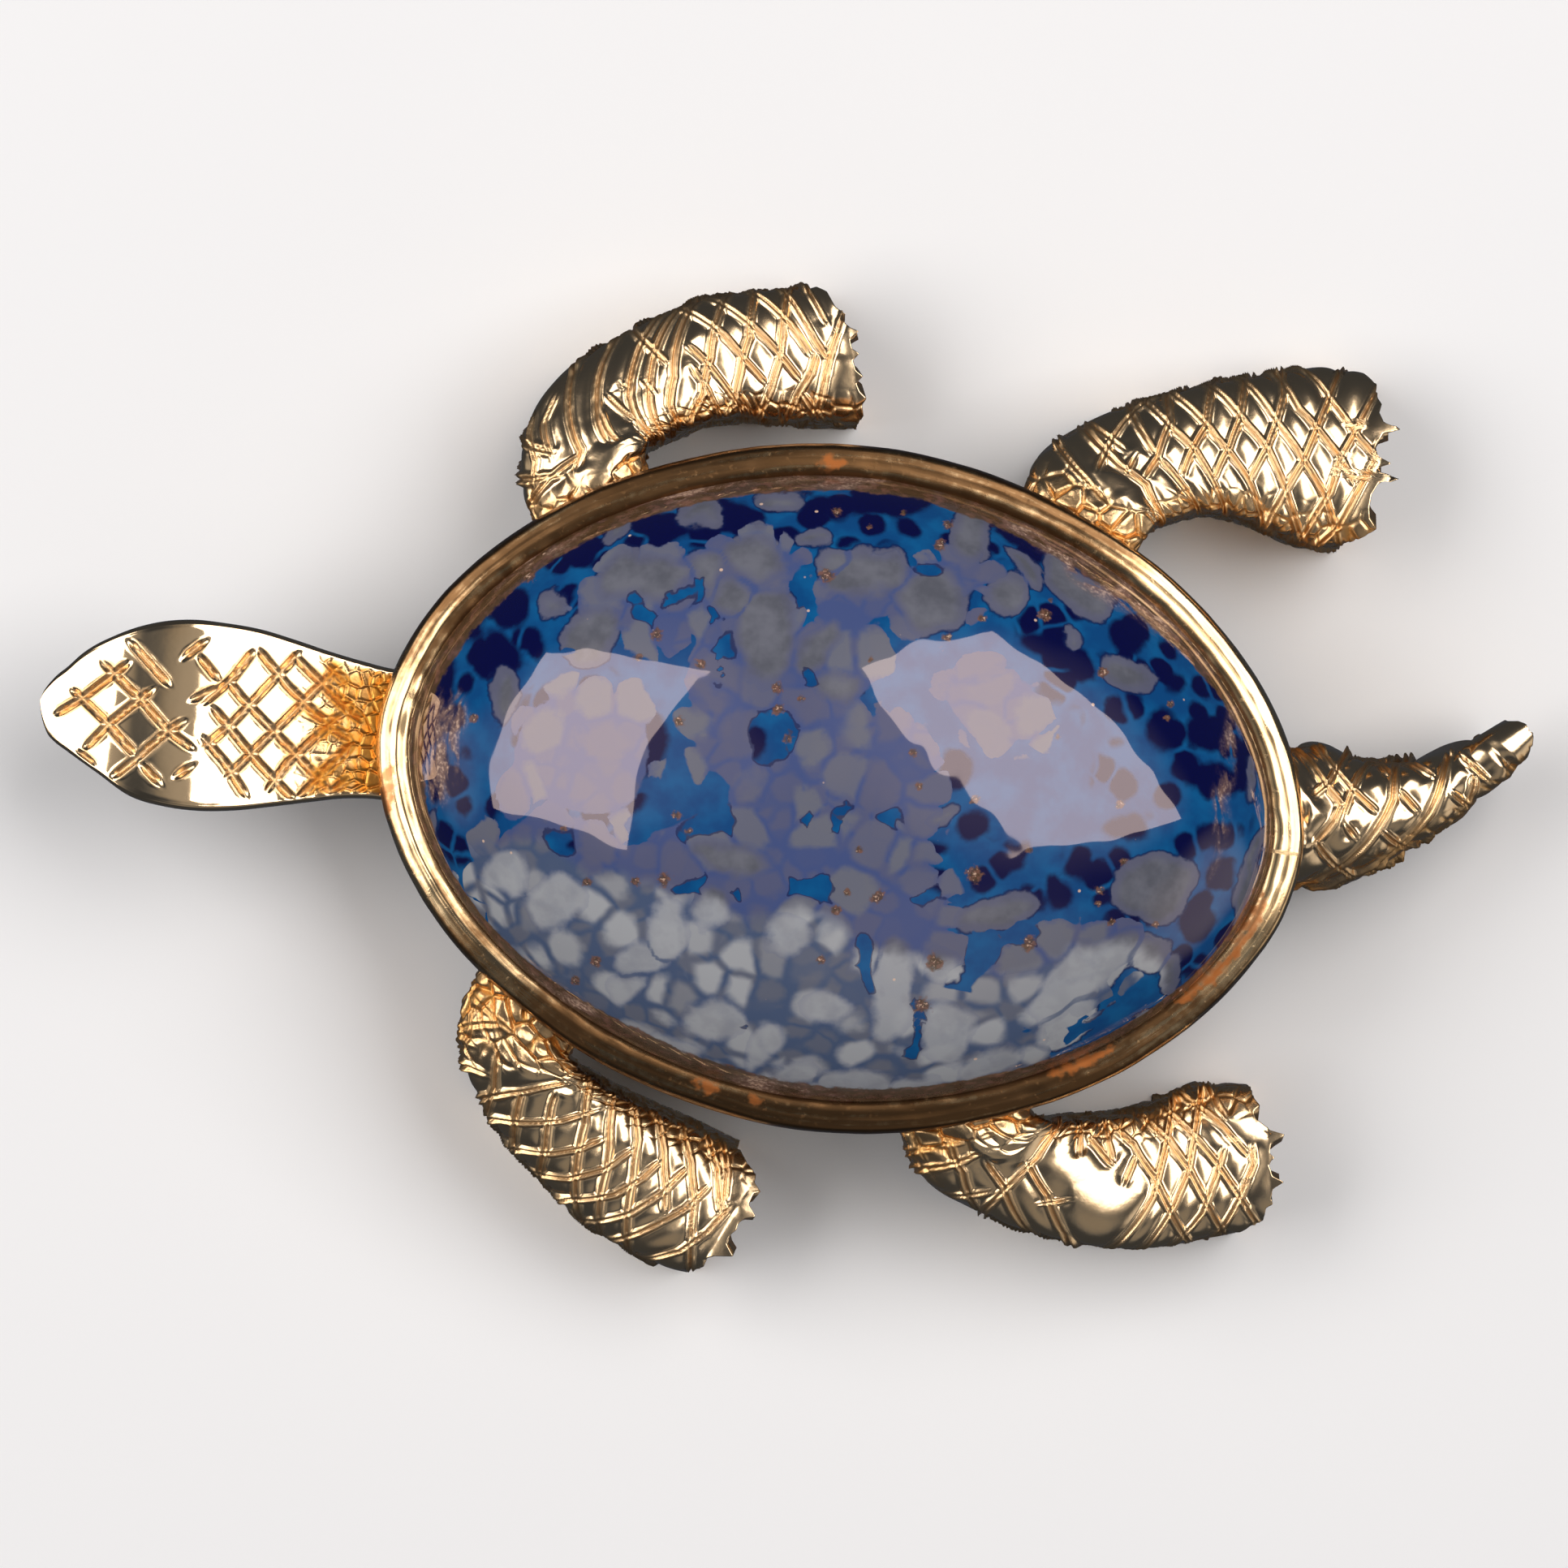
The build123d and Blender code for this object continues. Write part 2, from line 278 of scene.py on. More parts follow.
class Shell:
    """A mesh in the making: points, faces, and numbers that go with the points."""

    def __init__(self) -> None:
        """Starts with nothing."""
        self.points: list[Array] = []
        self.faces: list[Array] = []
        self.marks: dict[str, list[tuple[int, Array]]] = {}
        self.count = 0

    def add(self, points: Array, marks: dict[str, Array] | None = None) -> Array:
        """Adds points.

        Args:
            points: any array whose last axis is x, y, z in millimetres.
            marks: numbers of the same shape as the points, by name.

        Returns:
            The points' numbers in the mesh, in the array's shape.
        """
        flat = points.reshape(-1, 3)
        start = self.count
        self.points.append(flat)
        self.count += len(flat)
        for name, values in (marks or {}).items():
            self.marks.setdefault(name, []).append((start, np.asarray(values, float).reshape(-1)))
        return np.arange(start, self.count).reshape(points.shape[:-1])

    def skin(self, grid: Array, closed: bool = False) -> None:
        """Covers a grid of points with faces.

        Args:
            grid: the points' numbers, row by row.
            closed: whether each row's last point joins its first.
        """
        if closed:
            grid = np.concatenate([grid, grid[:, :1]], axis=1)
        quads = np.stack([grid[:-1, :-1], grid[:-1, 1:], grid[1:, 1:], grid[1:, :-1]], axis=-1)
        self.faces.append(quads.reshape(-1, 4))

    def stitch(self, one: Array, other: Array) -> None:
        """Joins two lines of points that run side by side with triangles.

        Args:
            one: the first line's points.
            other: the second line's points, which may be fewer or more.
        """
        made, i, j = [], 0, 0
        while i < len(one) - 1 or j < len(other) - 1:
            step = (i + 1) / max(len(one) - 1, 1) <= (j + 1) / max(len(other) - 1, 1)
            if j == len(other) - 1 or (step and i < len(one) - 1):
                made.append((one[i], other[j], one[i + 1]))
                i += 1
            else:
                made.append((one[i], other[j], other[j + 1]))
                j += 1
        self.faces.append(np.array(made))

    def close(self, ring: Array, centre: Array) -> None:
        """Closes a ring of points with a fan round a centre.

        Args:
            ring: the points' numbers round the ring.
            centre: the fan's middle in millimetres.
        """
        middle = self.add(np.asarray(centre, float).reshape(1, 3))[0]
        nexts = np.roll(ring, -1)
        self.faces.append(np.stack([ring, nexts, np.full_like(ring, middle)], axis=-1))

    def piece(self, name: str, node: str, slot: Slot, finish: bpy.types.Material) -> bpy.types.Object:
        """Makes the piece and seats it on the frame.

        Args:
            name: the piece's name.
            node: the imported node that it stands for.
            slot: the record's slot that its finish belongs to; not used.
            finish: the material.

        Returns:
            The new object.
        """
        points = np.concatenate(self.points) * MM
        mesh = bpy.data.meshes.new(name)
        faces = [face for block in self.faces for face in block.tolist()]
        mesh.from_pydata(points.tolist(), [], faces)
        for mark, parts in self.marks.items():
            values = np.zeros(len(points), np.float32)
            for start, part in parts:
                values[start : start + len(part)] = part
            mesh.attributes.new(mark, "FLOAT", "POINT").data.foreach_set("value", values)
        mesh.polygons.foreach_set("use_smooth", np.ones(len(mesh.polygons), bool))
        mesh.validate()
        mesh.update()
        made = bpy.data.objects.new(name, mesh)
        bpy.context.scene.collection.objects.link(made)
        face_outward(made)
        mesh.materials.append(finish)
        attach(made, ROOT_BODY)
        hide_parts(node)
        log.info("%s: %d faces", name, len(mesh.polygons))
        return made


def face_outward(thing: bpy.types.Object) -> None:
    """Turns a closed mesh's faces outward.

    Args:
        thing: the object whose mesh is turned.
    """
    work = bmesh.new()
    work.from_mesh(thing.data)
    bmesh.ops.recalc_face_normals(work, faces=work.faces)
    work.to_mesh(thing.data)
    work.free()


class Reading:
    """A number or colour that varies over a surface, as one node's output."""

    def __init__(self, bench: "Bench", socket: bpy.types.NodeSocket) -> None:
        """Keeps the output and the bench that it belongs to."""
        self.bench = bench
        self.socket = socket

    def _maths(self, operation: str, *values: "Reading | float", clamp: bool = False) -> "Reading":
        """Adds one Math node on these values."""
        settings = {"operation": operation, "use_clamp": clamp}
        return self.bench.node("ShaderNodeMath", settings, dict(enumerate(values)))

    def __add__(self, other: "Reading | float") -> "Reading":
        """The sum."""
        return self._maths("ADD", self, other)

    __radd__ = __add__

    def __sub__(self, other: "Reading | float") -> "Reading":
        """The difference."""
        return self._maths("SUBTRACT", self, other)

    def __rsub__(self, other: float) -> "Reading":
        """The difference from a plain number."""
        return self._maths("SUBTRACT", other, self)

    def __mul__(self, other: "Reading | float") -> "Reading":
        """The product."""
        return self._maths("MULTIPLY", self, other)

    __rmul__ = __mul__

    def __or__(self, other: "Reading | float") -> "Reading":
        """The larger of the two, which joins two masks."""
        return self._maths("MAXIMUM", self, other)

    def clamp(self) -> "Reading":
        """The number held between 0 and 1."""
        return self._maths("ADD", self, 0.0, clamp=True)

    def step(self, low: float, high: float) -> "Reading":
        """A soft step between two values of this reading, which falls where low is the larger.

        Args:
            low: where the step is 0.
            high: where the step is 1.

        Returns:
            The step's reading.
        """
        return self.bench.node(
            "ShaderNodeMapRange",
            {"interpolation_type": "SMOOTHSTEP"},
            {"Value": self, "From Min": min(low, high), "From Max": max(low, high),
             "To Min": float(low > high), "To Max": float(low < high)},
        )


class Bench:
    """One material's nodes."""

    def __init__(self, name: str) -> None:
        """Starts a material with one Principled shader.

        Args:
            name: the material's name.
        """
        self.material = bpy.data.materials.new(name)
        self.material.use_nodes = True
        self.tree = self.material.node_tree
        self.tree.nodes.clear()
        output = self.tree.nodes.new("ShaderNodeOutputMaterial")
        self.shader = self.tree.nodes.new("ShaderNodeBsdfPrincipled")
        self.tree.links.new(self.shader.outputs[0], output.inputs[0])

    def _plug(self, node: bpy.types.Node, sockets: dict) -> None:
        """Sets or links a node's sockets.

        Args:
            node: the node.
            sockets: the value or reading of each socket, by name or number.
        """
        for key, value in sockets.items():
            if isinstance(value, Reading):
                self.tree.links.new(value.socket, node.inputs[key])
            else:
                node.inputs[key].default_value = value

    def node(self, kind: str, settings: dict | None = None, sockets: dict | None = None,
             output: int | str = 0) -> Reading:
        """Adds a node.

        Args:
            kind: the node's type.
            settings: its settings, which are set first.
            sockets: the values or readings of its sockets, by name or number.
            output: which output is read.

        Returns:
            The output's reading.
        """
        node = self.tree.nodes.new(kind)
        for key, value in (settings or {}).items():
            setattr(node, key, value)
        self._plug(node, sockets or {})
        return Reading(self, node.outputs[output])

    def place(self, stretch: tuple[float, float, float] = (1, 1, 1)) -> Reading:
        """The point on the brooch in millimetres, stretched for a pattern."""
        sockets = {0: self.node("ShaderNodeTexCoord", output="Object"), 1: tuple(s / MM for s in stretch)}
        return self.node("ShaderNodeVectorMath", {"operation": "MULTIPLY"}, sockets)

    def mark(self, name: str) -> Reading:
        """A number that the mesh carries."""
        return self.node("ShaderNodeAttribute", {"attribute_name": name}, output="Fac")

    def noise(self, place: Reading, pitch: float, detail: float = 2.0, distortion: float = 0.0) -> Reading:
        """Soft noise from about 0 to 1, with features of that pitch in millimetres."""
        sockets = {"Vector": place, "Scale": 1 / pitch, "Detail": detail, "Distortion": distortion}
        return self.node("ShaderNodeTexNoise", None, sockets)

    def mix(self, share: Reading | float, one: Reading | Colour, other: Reading | Colour) -> Reading:
        """Goes from one colour to another."""
        return self.node("ShaderNodeMix", {"data_type": "RGBA"}, {0: share, 6: one, 7: other}, 2)

    def bump(self, height: Reading, distance: float) -> Reading:
        """A bump whose full height is that distance in millimetres."""
        return self.node("ShaderNodeBump", None, {"Height": height, "Distance": distance * MM})

    def finish(self, **sockets: "Reading | float | Colour") -> bpy.types.Material:
        """Sets the shader's sockets, whose names are written with _ for a space."""
        self._plug(self.shader, {key.replace("_", " "): value for key, value in sockets.items()})
        return self.material


class Room(Bench):
    """The dim light of the room all round the brooch."""

    def __init__(self, name: str) -> None:
        """Starts the room with its plain background.

        Args:
            name: the world's name.
        """
        self.world = bpy.data.worlds.new(name)
        self.world.use_nodes = True
        self.tree = self.world.node_tree
        self.shader = self.tree.nodes["Background"]

    def glow(self, azimuth: float, zenith: float, core: float, edge: float) -> Reading:
        """A soft glow round one direction.

        Args:
            azimuth: its direction in degrees from +X.
            zenith: its angle from straight up, in degrees.
            core: how far from its middle it is still full, in degrees.
            edge: how far from its middle it ends, in degrees.

        Returns:
            The glow's share, from 0 to 1.
        """
        a, z = math.radians(azimuth), math.radians(zenith)
        middle = (math.sin(z) * math.cos(a), math.sin(z) * math.sin(a), math.cos(z))
        near = self.node(
            "ShaderNodeVectorMath", {"operation": "DOT_PRODUCT"},
            {0: self.node("ShaderNodeTexCoord", output="Generated"), 1: middle}, "Value",
        )
        return near.step(math.cos(math.radians(edge)), math.cos(math.radians(core)))


@dataclass(frozen=True)
class Gold:
    """Polished gold, painted deeper orange in its chased lines and creases, at its soldered roots, along the limbs'
    inner sides and inside its hollows, as shade of the light bounced between gold walls.
    """

    name: str
    bright: Colour = (0.95, 0.69, 0.41, 1)
    # deep: the orange of light bounced between gold walls, painted as shade into the lines, creases, roots and
    # hollows, and also a random cloudy tone.
    deep: Colour = (0.84, 0.42, 0.11, 1)
    grime: Colour = (0.16, 0.07, 0.02, 1)
    roughness: float = 0.20
    matted: float = 0.10
    line_matted: float = 0.16
    melt_deep: float = 0.5
    unevenness: float = 0.010
    wave: float = 0.5

    def material(self) -> bpy.types.Material:
        """Builds the gold's material.

        Returns:
            The material.
        """
        bench = Bench(self.name)
        place = bench.place()
        line, melt = bench.mark("line"), bench.mark("melt")
        cloudy = bench.noise(place, 1.6, 3.0)
        fine = bench.noise(place, 0.10, 2.0)
        grain = bench.noise(place, 0.22, 3.0)
        # Painted shade of bounced light: the chased lines, creases, roots and crumpled inner sides go deep orange,
        # over a random cloudy tone.
        deep_tone_and_bounce_shade = (line * 0.5 + melt * self.melt_deep + (cloudy - 0.5) * 0.5).clamp()
        colour = bench.mix(deep_tone_and_bounce_shade, self.bright, self.deep)
        dirt = ((line * 0.7 + melt * 0.5) * fine.step(0.52, 0.7)).clamp()
        colour = bench.mix(dirt * 0.22, colour, self.grime)
        rough = self.roughness + (cloudy - 0.5) * 0.10 + line * self.line_matted + melt * self.matted + dirt * 0.12
        surface = bench.noise(place, self.wave, 3.0) + fine * (line * 0.2 + melt * 0.6 + 0.03) + grain * melt * 1.5
        return bench.finish(
            Base_Color=colour, Metallic=1.0, Roughness=rough.clamp(),
            Normal=bench.bump(surface, self.unevenness),
        )


@dataclass(frozen=True)
class BurnishedGold:
    """The bezel's gold: burnished along the rim, with fine streaks and a few copper-red stains, dark brown patina and
    painted shade by angle round it, and a painted dark lip against the stone.
    """

    name: str
    bright: Colour = (0.93, 0.67, 0.37, 1)
    deep: Colour = (0.60, 0.31, 0.11, 1)
    # brown: painted shade on the rim's inner lip, in the gap where it presses on the stone.
    brown: Colour = (0.30, 0.15, 0.06, 1)
    # Dark brown of patina and of painted shade, laid by angle round the bezel.
    tarnish_and_shade: Colour = (0.18, 0.088, 0.034, 1)
    stain: Colour = (0.55, 0.17, 0.04, 1)

    def material(self) -> bpy.types.Material:
        """Builds the rim's material.

        Returns:
            The material.
        """
        bench = Bench(self.name)
        place = bench.place()
        around, across, stained = bench.mark("around"), bench.mark("across"), bench.mark("stain")
        streaks_at = bench.node("ShaderNodeCombineXYZ", None, {0: around * 0.3, 1: across * 5.0})
        streaks = bench.noise(streaks_at, 1.0, 4.0)
        cloudy = bench.noise(place, 1.2, 3.0)
        specks = bench.noise(place, 0.16, 2.0).step(0.62, 0.72)
        crumbs = bench.noise(place, 0.25, 3.0)
        colour = bench.mix(((streaks - 0.35) * 1.6 + (cloudy - 0.5)).clamp(), self.bright, self.deep)
        # Painted shade with patina: dark brown by angle round the bezel, left bright only where it faces the
        # softboxes, and broken by streaks and crumbs.
        tarnish_and_shade_share = (bench.mark("tarnish_and_shade") + (streaks - 0.5) * 1.5 + (crumbs - 0.5) * 0.7).step(0.2, 0.95)
        colour = bench.mix(tarnish_and_shade_share * 0.95, colour, self.tarnish_and_shade)
        # Painted shade: the rim's inner lip, pressed on the stone, goes dark brown and crumbly.
        lip = (bench.mark("lip") + (crumbs - 0.5) * 0.5).step(0.3, 0.7)
        colour = bench.mix(lip * 0.85, colour, self.brown)
        ragged = (stained + (crumbs - 0.5) * 1.8).step(0.4, 1.0)
        colour = bench.mix(ragged * 0.7, colour, self.stain)
        rough = 0.18 + (streaks - 0.5) * 0.22 + specks * 0.1 + ragged * 0.2 + lip * 0.3 + tarnish_and_shade_share * 0.12
        return bench.finish(
            Base_Color=colour, Metallic=1.0, Roughness=rough.clamp(),
            Normal=bench.bump(streaks + specks * 0.2 + lip * crumbs * 3.0, 0.006),
        )


@dataclass(frozen=True)
class PlainGold:
    """Plain polished gold for the plate, the fittings and the pin's stem."""

    name: str
    bright: Colour = (0.88, 0.65, 0.38, 1)
    deep: Colour = (0.74, 0.45, 0.20, 1)

    def material(self) -> bpy.types.Material:
        """Builds the material, with the fine scratches of use.

        Returns:
            The material.
        """
        bench = Bench(self.name)
        cloudy = bench.noise(bench.place(), 1.5, 4.0)
        scratches = bench.noise(bench.place((0.6, 14.0, 14.0)), 1.0, 2.0)
        return bench.finish(
            Base_Color=bench.mix(cloudy.step(0.35, 0.75), self.bright, self.deep),
            Metallic=1.0, Roughness=0.16 + cloudy * 0.12 + scratches * 0.10,
            Normal=bench.bump(scratches, 0.006),
        )


@dataclass(frozen=True)
class GlassBench:
    """What the layers of the glass share: the bench, the point in millimetres, and the noises that roughen them.

    Attributes:
        bench: the material in the making.
        place: the point in millimetres.
        wander: broad noise.
        fine: fine noise.
        ragged: both noises round 0, which moves a patch's edge in and out.
        milky_and_hazy: how much of the paler lower part of the stone each point is, which is partly pale glass and
            partly painted haze.
    """

    bench: Bench
    place: Reading
    wander: Reading
    fine: Reading
    ragged: Reading
    milky_and_hazy: Reading


@dataclass(frozen=True)
class MottledGlass:
    """The stone: blue glass with grey and lavender chips, navy spots and copper flecks under a high polish, with
    painted haze on its paler lower part, a painted reflection of the bezel's gold along its edge, and painted glints.
    """

    name: str = "mottled_glass"
    blue: Colour = (0.002, 0.065, 0.22, 1)
    bright_blue: Colour = (0.003, 0.11, 0.30, 1)
    navy: Colour = (0.0, 0.0015, 0.05, 1)
    periwinkle: Colour = (0.065, 0.095, 0.24, 1)
    slate: Colour = (0.075, 0.11, 0.20, 1)
    grey: Colour = (0.105, 0.11, 0.135, 1)
    light_grey: Colour = (0.165, 0.17, 0.205, 1)
    # The lower chips' pale grey, partly the glass's own and partly painted haze of light from below.
    hazy_milky_grey: Colour = (0.42, 0.43, 0.45, 1)
    lavender: Colour = (0.115, 0.12, 0.20, 1)
    outline: Colour = (0.003, 0.01, 0.07, 1)
    # Copper and bronze colour the flecks, and the painted reflection of the bezel's gold along the edge.
    copper: Colour = (0.22, 0.10, 0.06, 1)
    # Painted glints: the bright colour of the flecks' sparkle, the edge streaks' bright parts and the tiny specks.
    painted_glint: Colour = (0.85, 0.58, 0.42, 1)
    # rose: the pink of the edge streaks, partly foil and partly a painted reflection of the bezel's rim.
    rose: Colour = (0.24, 0.14, 0.11, 1)
    bronze: Colour = (0.10, 0.055, 0.022, 1)
    shine: Colour = (1.0, 0.79, 0.70, 1)

    def material(self) -> bpy.types.Material:
        """Builds the glass's material from the marks that the stone carries.

        Returns:
            The material.
        """
        bench = Bench(self.name)
        place = bench.place()
        wander = bench.noise(place, 0.9, 3.0)
        fine = bench.noise(place, 0.28, 3.0)
        ragged = (wander - 0.5) * 0.22 + (fine - 0.5) * 0.22
        # Painted haze: the paler lower part of the stone, partly pale glass and partly light from below painted in.
        milky_and_hazy = (bench.mark("milk") + (wander - 0.5) * 0.5).step(0.25, 0.75)
        glass = GlassBench(bench, place, wander, fine, ragged, milky_and_hazy)
        sea = self._sea(glass)
        ground, crowded, pebbled = self._crowd(glass, sea)
        ground = self._placed_chips(glass, ground, crowded)
        island = bench.mark("islands") + ragged + pebbled * 0.22 - 0.10
        ground = bench.mix(island.step(0.06, 0.02) * crowded * 0.7, ground, self.outline)
        ground = bench.mix(island.step(0.0, -0.05), ground, sea)
        return bench.finish(
            Base_Color=self._rim_reflection_and_flecks(glass, ground), Roughness=0.03, IOR=1.85, Specular_Tint=self.shine,
            Normal=bench.bump(bench.noise(place, 2.6, 1.0), 0.09),
        )

    def _sea(self, glass: GlassBench) -> Reading:
        """Colours the clear blue with its navy spots.

        Args:
            glass: what the layers share.

        Returns:
            The colour.
        """
        bench = glass.bench
        sea = bench.mix(glass.wander.step(0.35, 0.7), self.blue, self.bright_blue)
        spots, _ = self._chips(glass, 0.95, 3.0, (0.0, 0.10), (0.52, 0.38), 0.12)
        sea = bench.mix(spots * (bench.mark("spotted") + glass.ragged).step(0.35, 0.65), sea, self.navy)
        return bench.mix((bench.mark("navy") + glass.ragged * 0.7).step(0.13, -0.10), sea, self.navy)

    def _crowd(self, glass: GlassBench, sea: Reading) -> tuple[Reading, Reading, Reading]:
        """Lays the crowded small chips over the blue.

        Args:
            glass: what the layers share.
            sea: the blue's colour.

        Returns:
            The colour, how much of the crowd each point is, and how much of one of its chips.
        """
        bench, milky_and_hazy = glass.bench, glass.milky_and_hazy
        # In the paler lower part the mortar, the chips under the crowd and the crowded chips take paler greys, partly
        # as painted haze.
        mortar = bench.mix(milky_and_hazy, self.periwinkle, self.slate)
        small, small_tint = self._chips(glass, 0.80, 11.0, (-0.01, 0.13), (0.74, 0.46), 0.35)
        large, large_tint = self._chips(glass, 0.85, 23.0, (0.0, 0.20), (0.68, 0.34), 0.2)
        under, under_tint = self._chips(glass, 1.25, 37.0, (-0.02, 0.16), (0.70, 0.40), 0.3)
        crowded = (bench.mark("crowd") + glass.ragged * 0.7 + (small - 0.6) * 0.45).step(0.42, 0.5)
        ground = bench.mix(crowded, sea, mortar)
        ground = bench.mix(under * crowded * under_tint.step(0.0, 0.4) * 0.7, ground,
                           bench.mix(milky_and_hazy, self.lavender, self.light_grey))
        body = bench.mix(milky_and_hazy, bench.mix(small_tint.step(0.2, 0.8), self.lavender, self.light_grey),
                         bench.mix(large_tint.step(0.0, 0.5), self.light_grey, self.hazy_milky_grey))
        held = small * (1 - milky_and_hazy) * small_tint.step(0.0, 0.2) * 0.9 + large * milky_and_hazy * large_tint.step(0.0, 0.25)
        return bench.mix(held * crowded, ground, body), crowded, small | large * milky_and_hazy

    def _placed_chips(self, glass: GlassBench, ground: Reading, crowded: Reading) -> Reading:
        """Lays the large chips that have their own places, with their dark rims, soft bodies and seams.

        Args:
            glass: what the layers share.
            ground: the colour under them.
            crowded: how much of the crowd each point is.

        Returns:
            The colour.
        """
        bench, milky_and_hazy = glass.bench, glass.milky_and_hazy
        chips = bench.mark("chips") + glass.ragged
        tone = (glass.wander * 0.8 + glass.fine * 0.3).step(0.35, 0.75)
        rim = chips.step(0.09, 0.03) * (1 - crowded * 0.8)
        ground = bench.mix(rim * 0.8, ground, bench.mix(crowded, self.outline, self.periwinkle))
        shade = bench.mix(chips.step(-0.40, -0.05) * 0.7, bench.mix(tone, self.grey, self.light_grey), self.lavender)
        # The chips in the paler lower part take a paler grey, partly as painted haze.
        shade = bench.mix(milky_and_hazy, shade, bench.mix((tone * 0.4 + 0.75).clamp(), self.light_grey, self.hazy_milky_grey))
        seams = (bench.mark("seams") + (glass.fine - 0.5) * 0.6).step(0.35, 0.9)
        shade = bench.mix(seams * 0.75, shade, bench.mix(milky_and_hazy, self.periwinkle, self.slate))
        body_edge = bench.mix(crowded, chips.step(0.04, -0.05), chips.step(0.08, -0.22))
        return bench.mix(body_edge * (1 - crowded * milky_and_hazy * 0.15), ground, shade)

    def _rim_reflection_and_flecks(self, glass: GlassBench, ground: Reading) -> Reading:
        """Lays the brown band along the stone's edge, a painted reflection of the bezel's gold, the copper flecks
        with their painted glints, the pink-gold edge streaks that are partly foil and partly painted reflection, and
        scattered painted glints.

        Args:
            glass: what the layers share.
            ground: the colour under them.

        Returns:
            The colour.
        """
        bench, place, fine = glass.bench, glass.place, glass.fine
        # Painted reflection: the bezel's gold seen in the stone's edge, as a brown band of changing breadth.
        edge = bench.mark("edge") + (glass.wander - 0.5) * 0.7 + (fine - 0.5) * 0.6
        brown = bench.mix(fine.step(0.45, 0.75), self.bronze, self.copper)
        ground = bench.mix(edge.step(0.45, 0.7) * 0.92, ground, brown)
        grains = bench.noise(place, 0.11, 2.0)
        flecks = bench.mark("flecks")
        cluster = (flecks + (grains - 0.5) * 0.8 + (fine - 0.5) * 0.8).step(0.34, 0.72)
        ground = bench.mix(cluster * 0.85, ground, bench.mix(grains.step(0.4, 0.65), self.bronze, self.copper))
        # Painted glints on the copper flecks.
        glint_noise = bench.noise(place, 0.07, 1.0)
        ground = bench.mix((flecks * 0.9 + (glint_noise - 0.5) * 1.6).step(0.8, 1.15) * 0.7, ground, self.painted_glint)
        # Edge streaks: partly foil in the glass, partly a painted reflection of the bezel's rim, pink to bright.
        along_edge = {0: bench.mark("around") * 0.7, 1: bench.mark("inward") * 3.2}
        streaks = bench.noise(bench.node("ShaderNodeCombineXYZ", None, along_edge), 1.0, 5.0, 0.6)
        foil = (bench.mark("foil") * (streaks + (fine - 0.5) * 0.3).step(0.40, 0.60)).clamp()
        foil_and_rim_reflection_tone = (streaks * 0.5 + grains * 0.5).step(0.5, 0.68)
        ground = bench.mix(foil * 0.85, ground, bench.mix(foil_and_rim_reflection_tone, self.rose, self.painted_glint))
        # Painted glints: tiny bright specks all over the stone.
        glint_specks = bench.node("ShaderNodeTexVoronoi", None, {"Vector": place, "Scale": 1 / 1.3})
        return bench.mix(glint_specks.step(0.05, 0.03) * 0.8, ground, self.painted_glint)

    @staticmethod
    def _chips(glass: GlassBench, per_mm: float, shift: float, edge: tuple[float, float],
               round_off: tuple[float, float], rugged: float) -> tuple[Reading, Reading]:
        """Scatters rounded chips that crowd up against each other.

        Args:
            glass: what the layers share.
            per_mm: how many chips lie along a millimetre.
            shift: where in the endless pattern this layer is taken from.
            edge: how far from a chip's border it starts and is full, as a share of its size.
            round_off: how far from a chip's middle it ends and is full, as a share of its size.
            rugged: how rough the outlines are, as a share of a chip's size.

        Returns:
            How much of a chip each point is, and each chip's own number, both from 0 to 1.
        """
        bench = glass.bench
        moved = bench.node("ShaderNodeVectorMath", {"operation": "ADD"}, {0: glass.place, 1: (shift, shift, 0)})
        swirl = bench.node("ShaderNodeTexNoise", None, {"Vector": moved, "Scale": per_mm * 0.9}, "Color")
        bent = bench.node("ShaderNodeMix", {"data_type": "VECTOR"}, {0: 0.30, 4: moved, 5: swirl}, 1)
        cells = {"Vector": bent, "Scale": per_mm / 0.7, "Randomness": 0.95}
        border = bench.node("ShaderNodeTexVoronoi", {"feature": "DISTANCE_TO_EDGE"}, cells)
        middle = bench.node("ShaderNodeTexVoronoi", None, cells)
        own = bench.node("ShaderNodeSeparateColor", None,
                         {0: bench.node("ShaderNodeTexVoronoi", None, cells, "Color")})
        rough = (glass.fine - 0.5) * rugged
        body = (border + rough * 0.3).step(*edge) * (middle + rough).step(*round_off)
        return body, own


class Cut:
    """One chased line, drawn by its pixels in the photograph."""

    def __init__(self, *pixels: Pixel, depth: float = 1.0, breadth: float = 1.0) -> None:
        """Keeps the line's pixels, depth and breadth.

        Args:
            pixels: the line's points in the photograph.
            depth: how deep it is beside the usual.
            breadth: how broad it is beside the usual.
        """
        self.pixels = np.array(pixels, float)
        self.depth = depth
        self.breadth = breadth


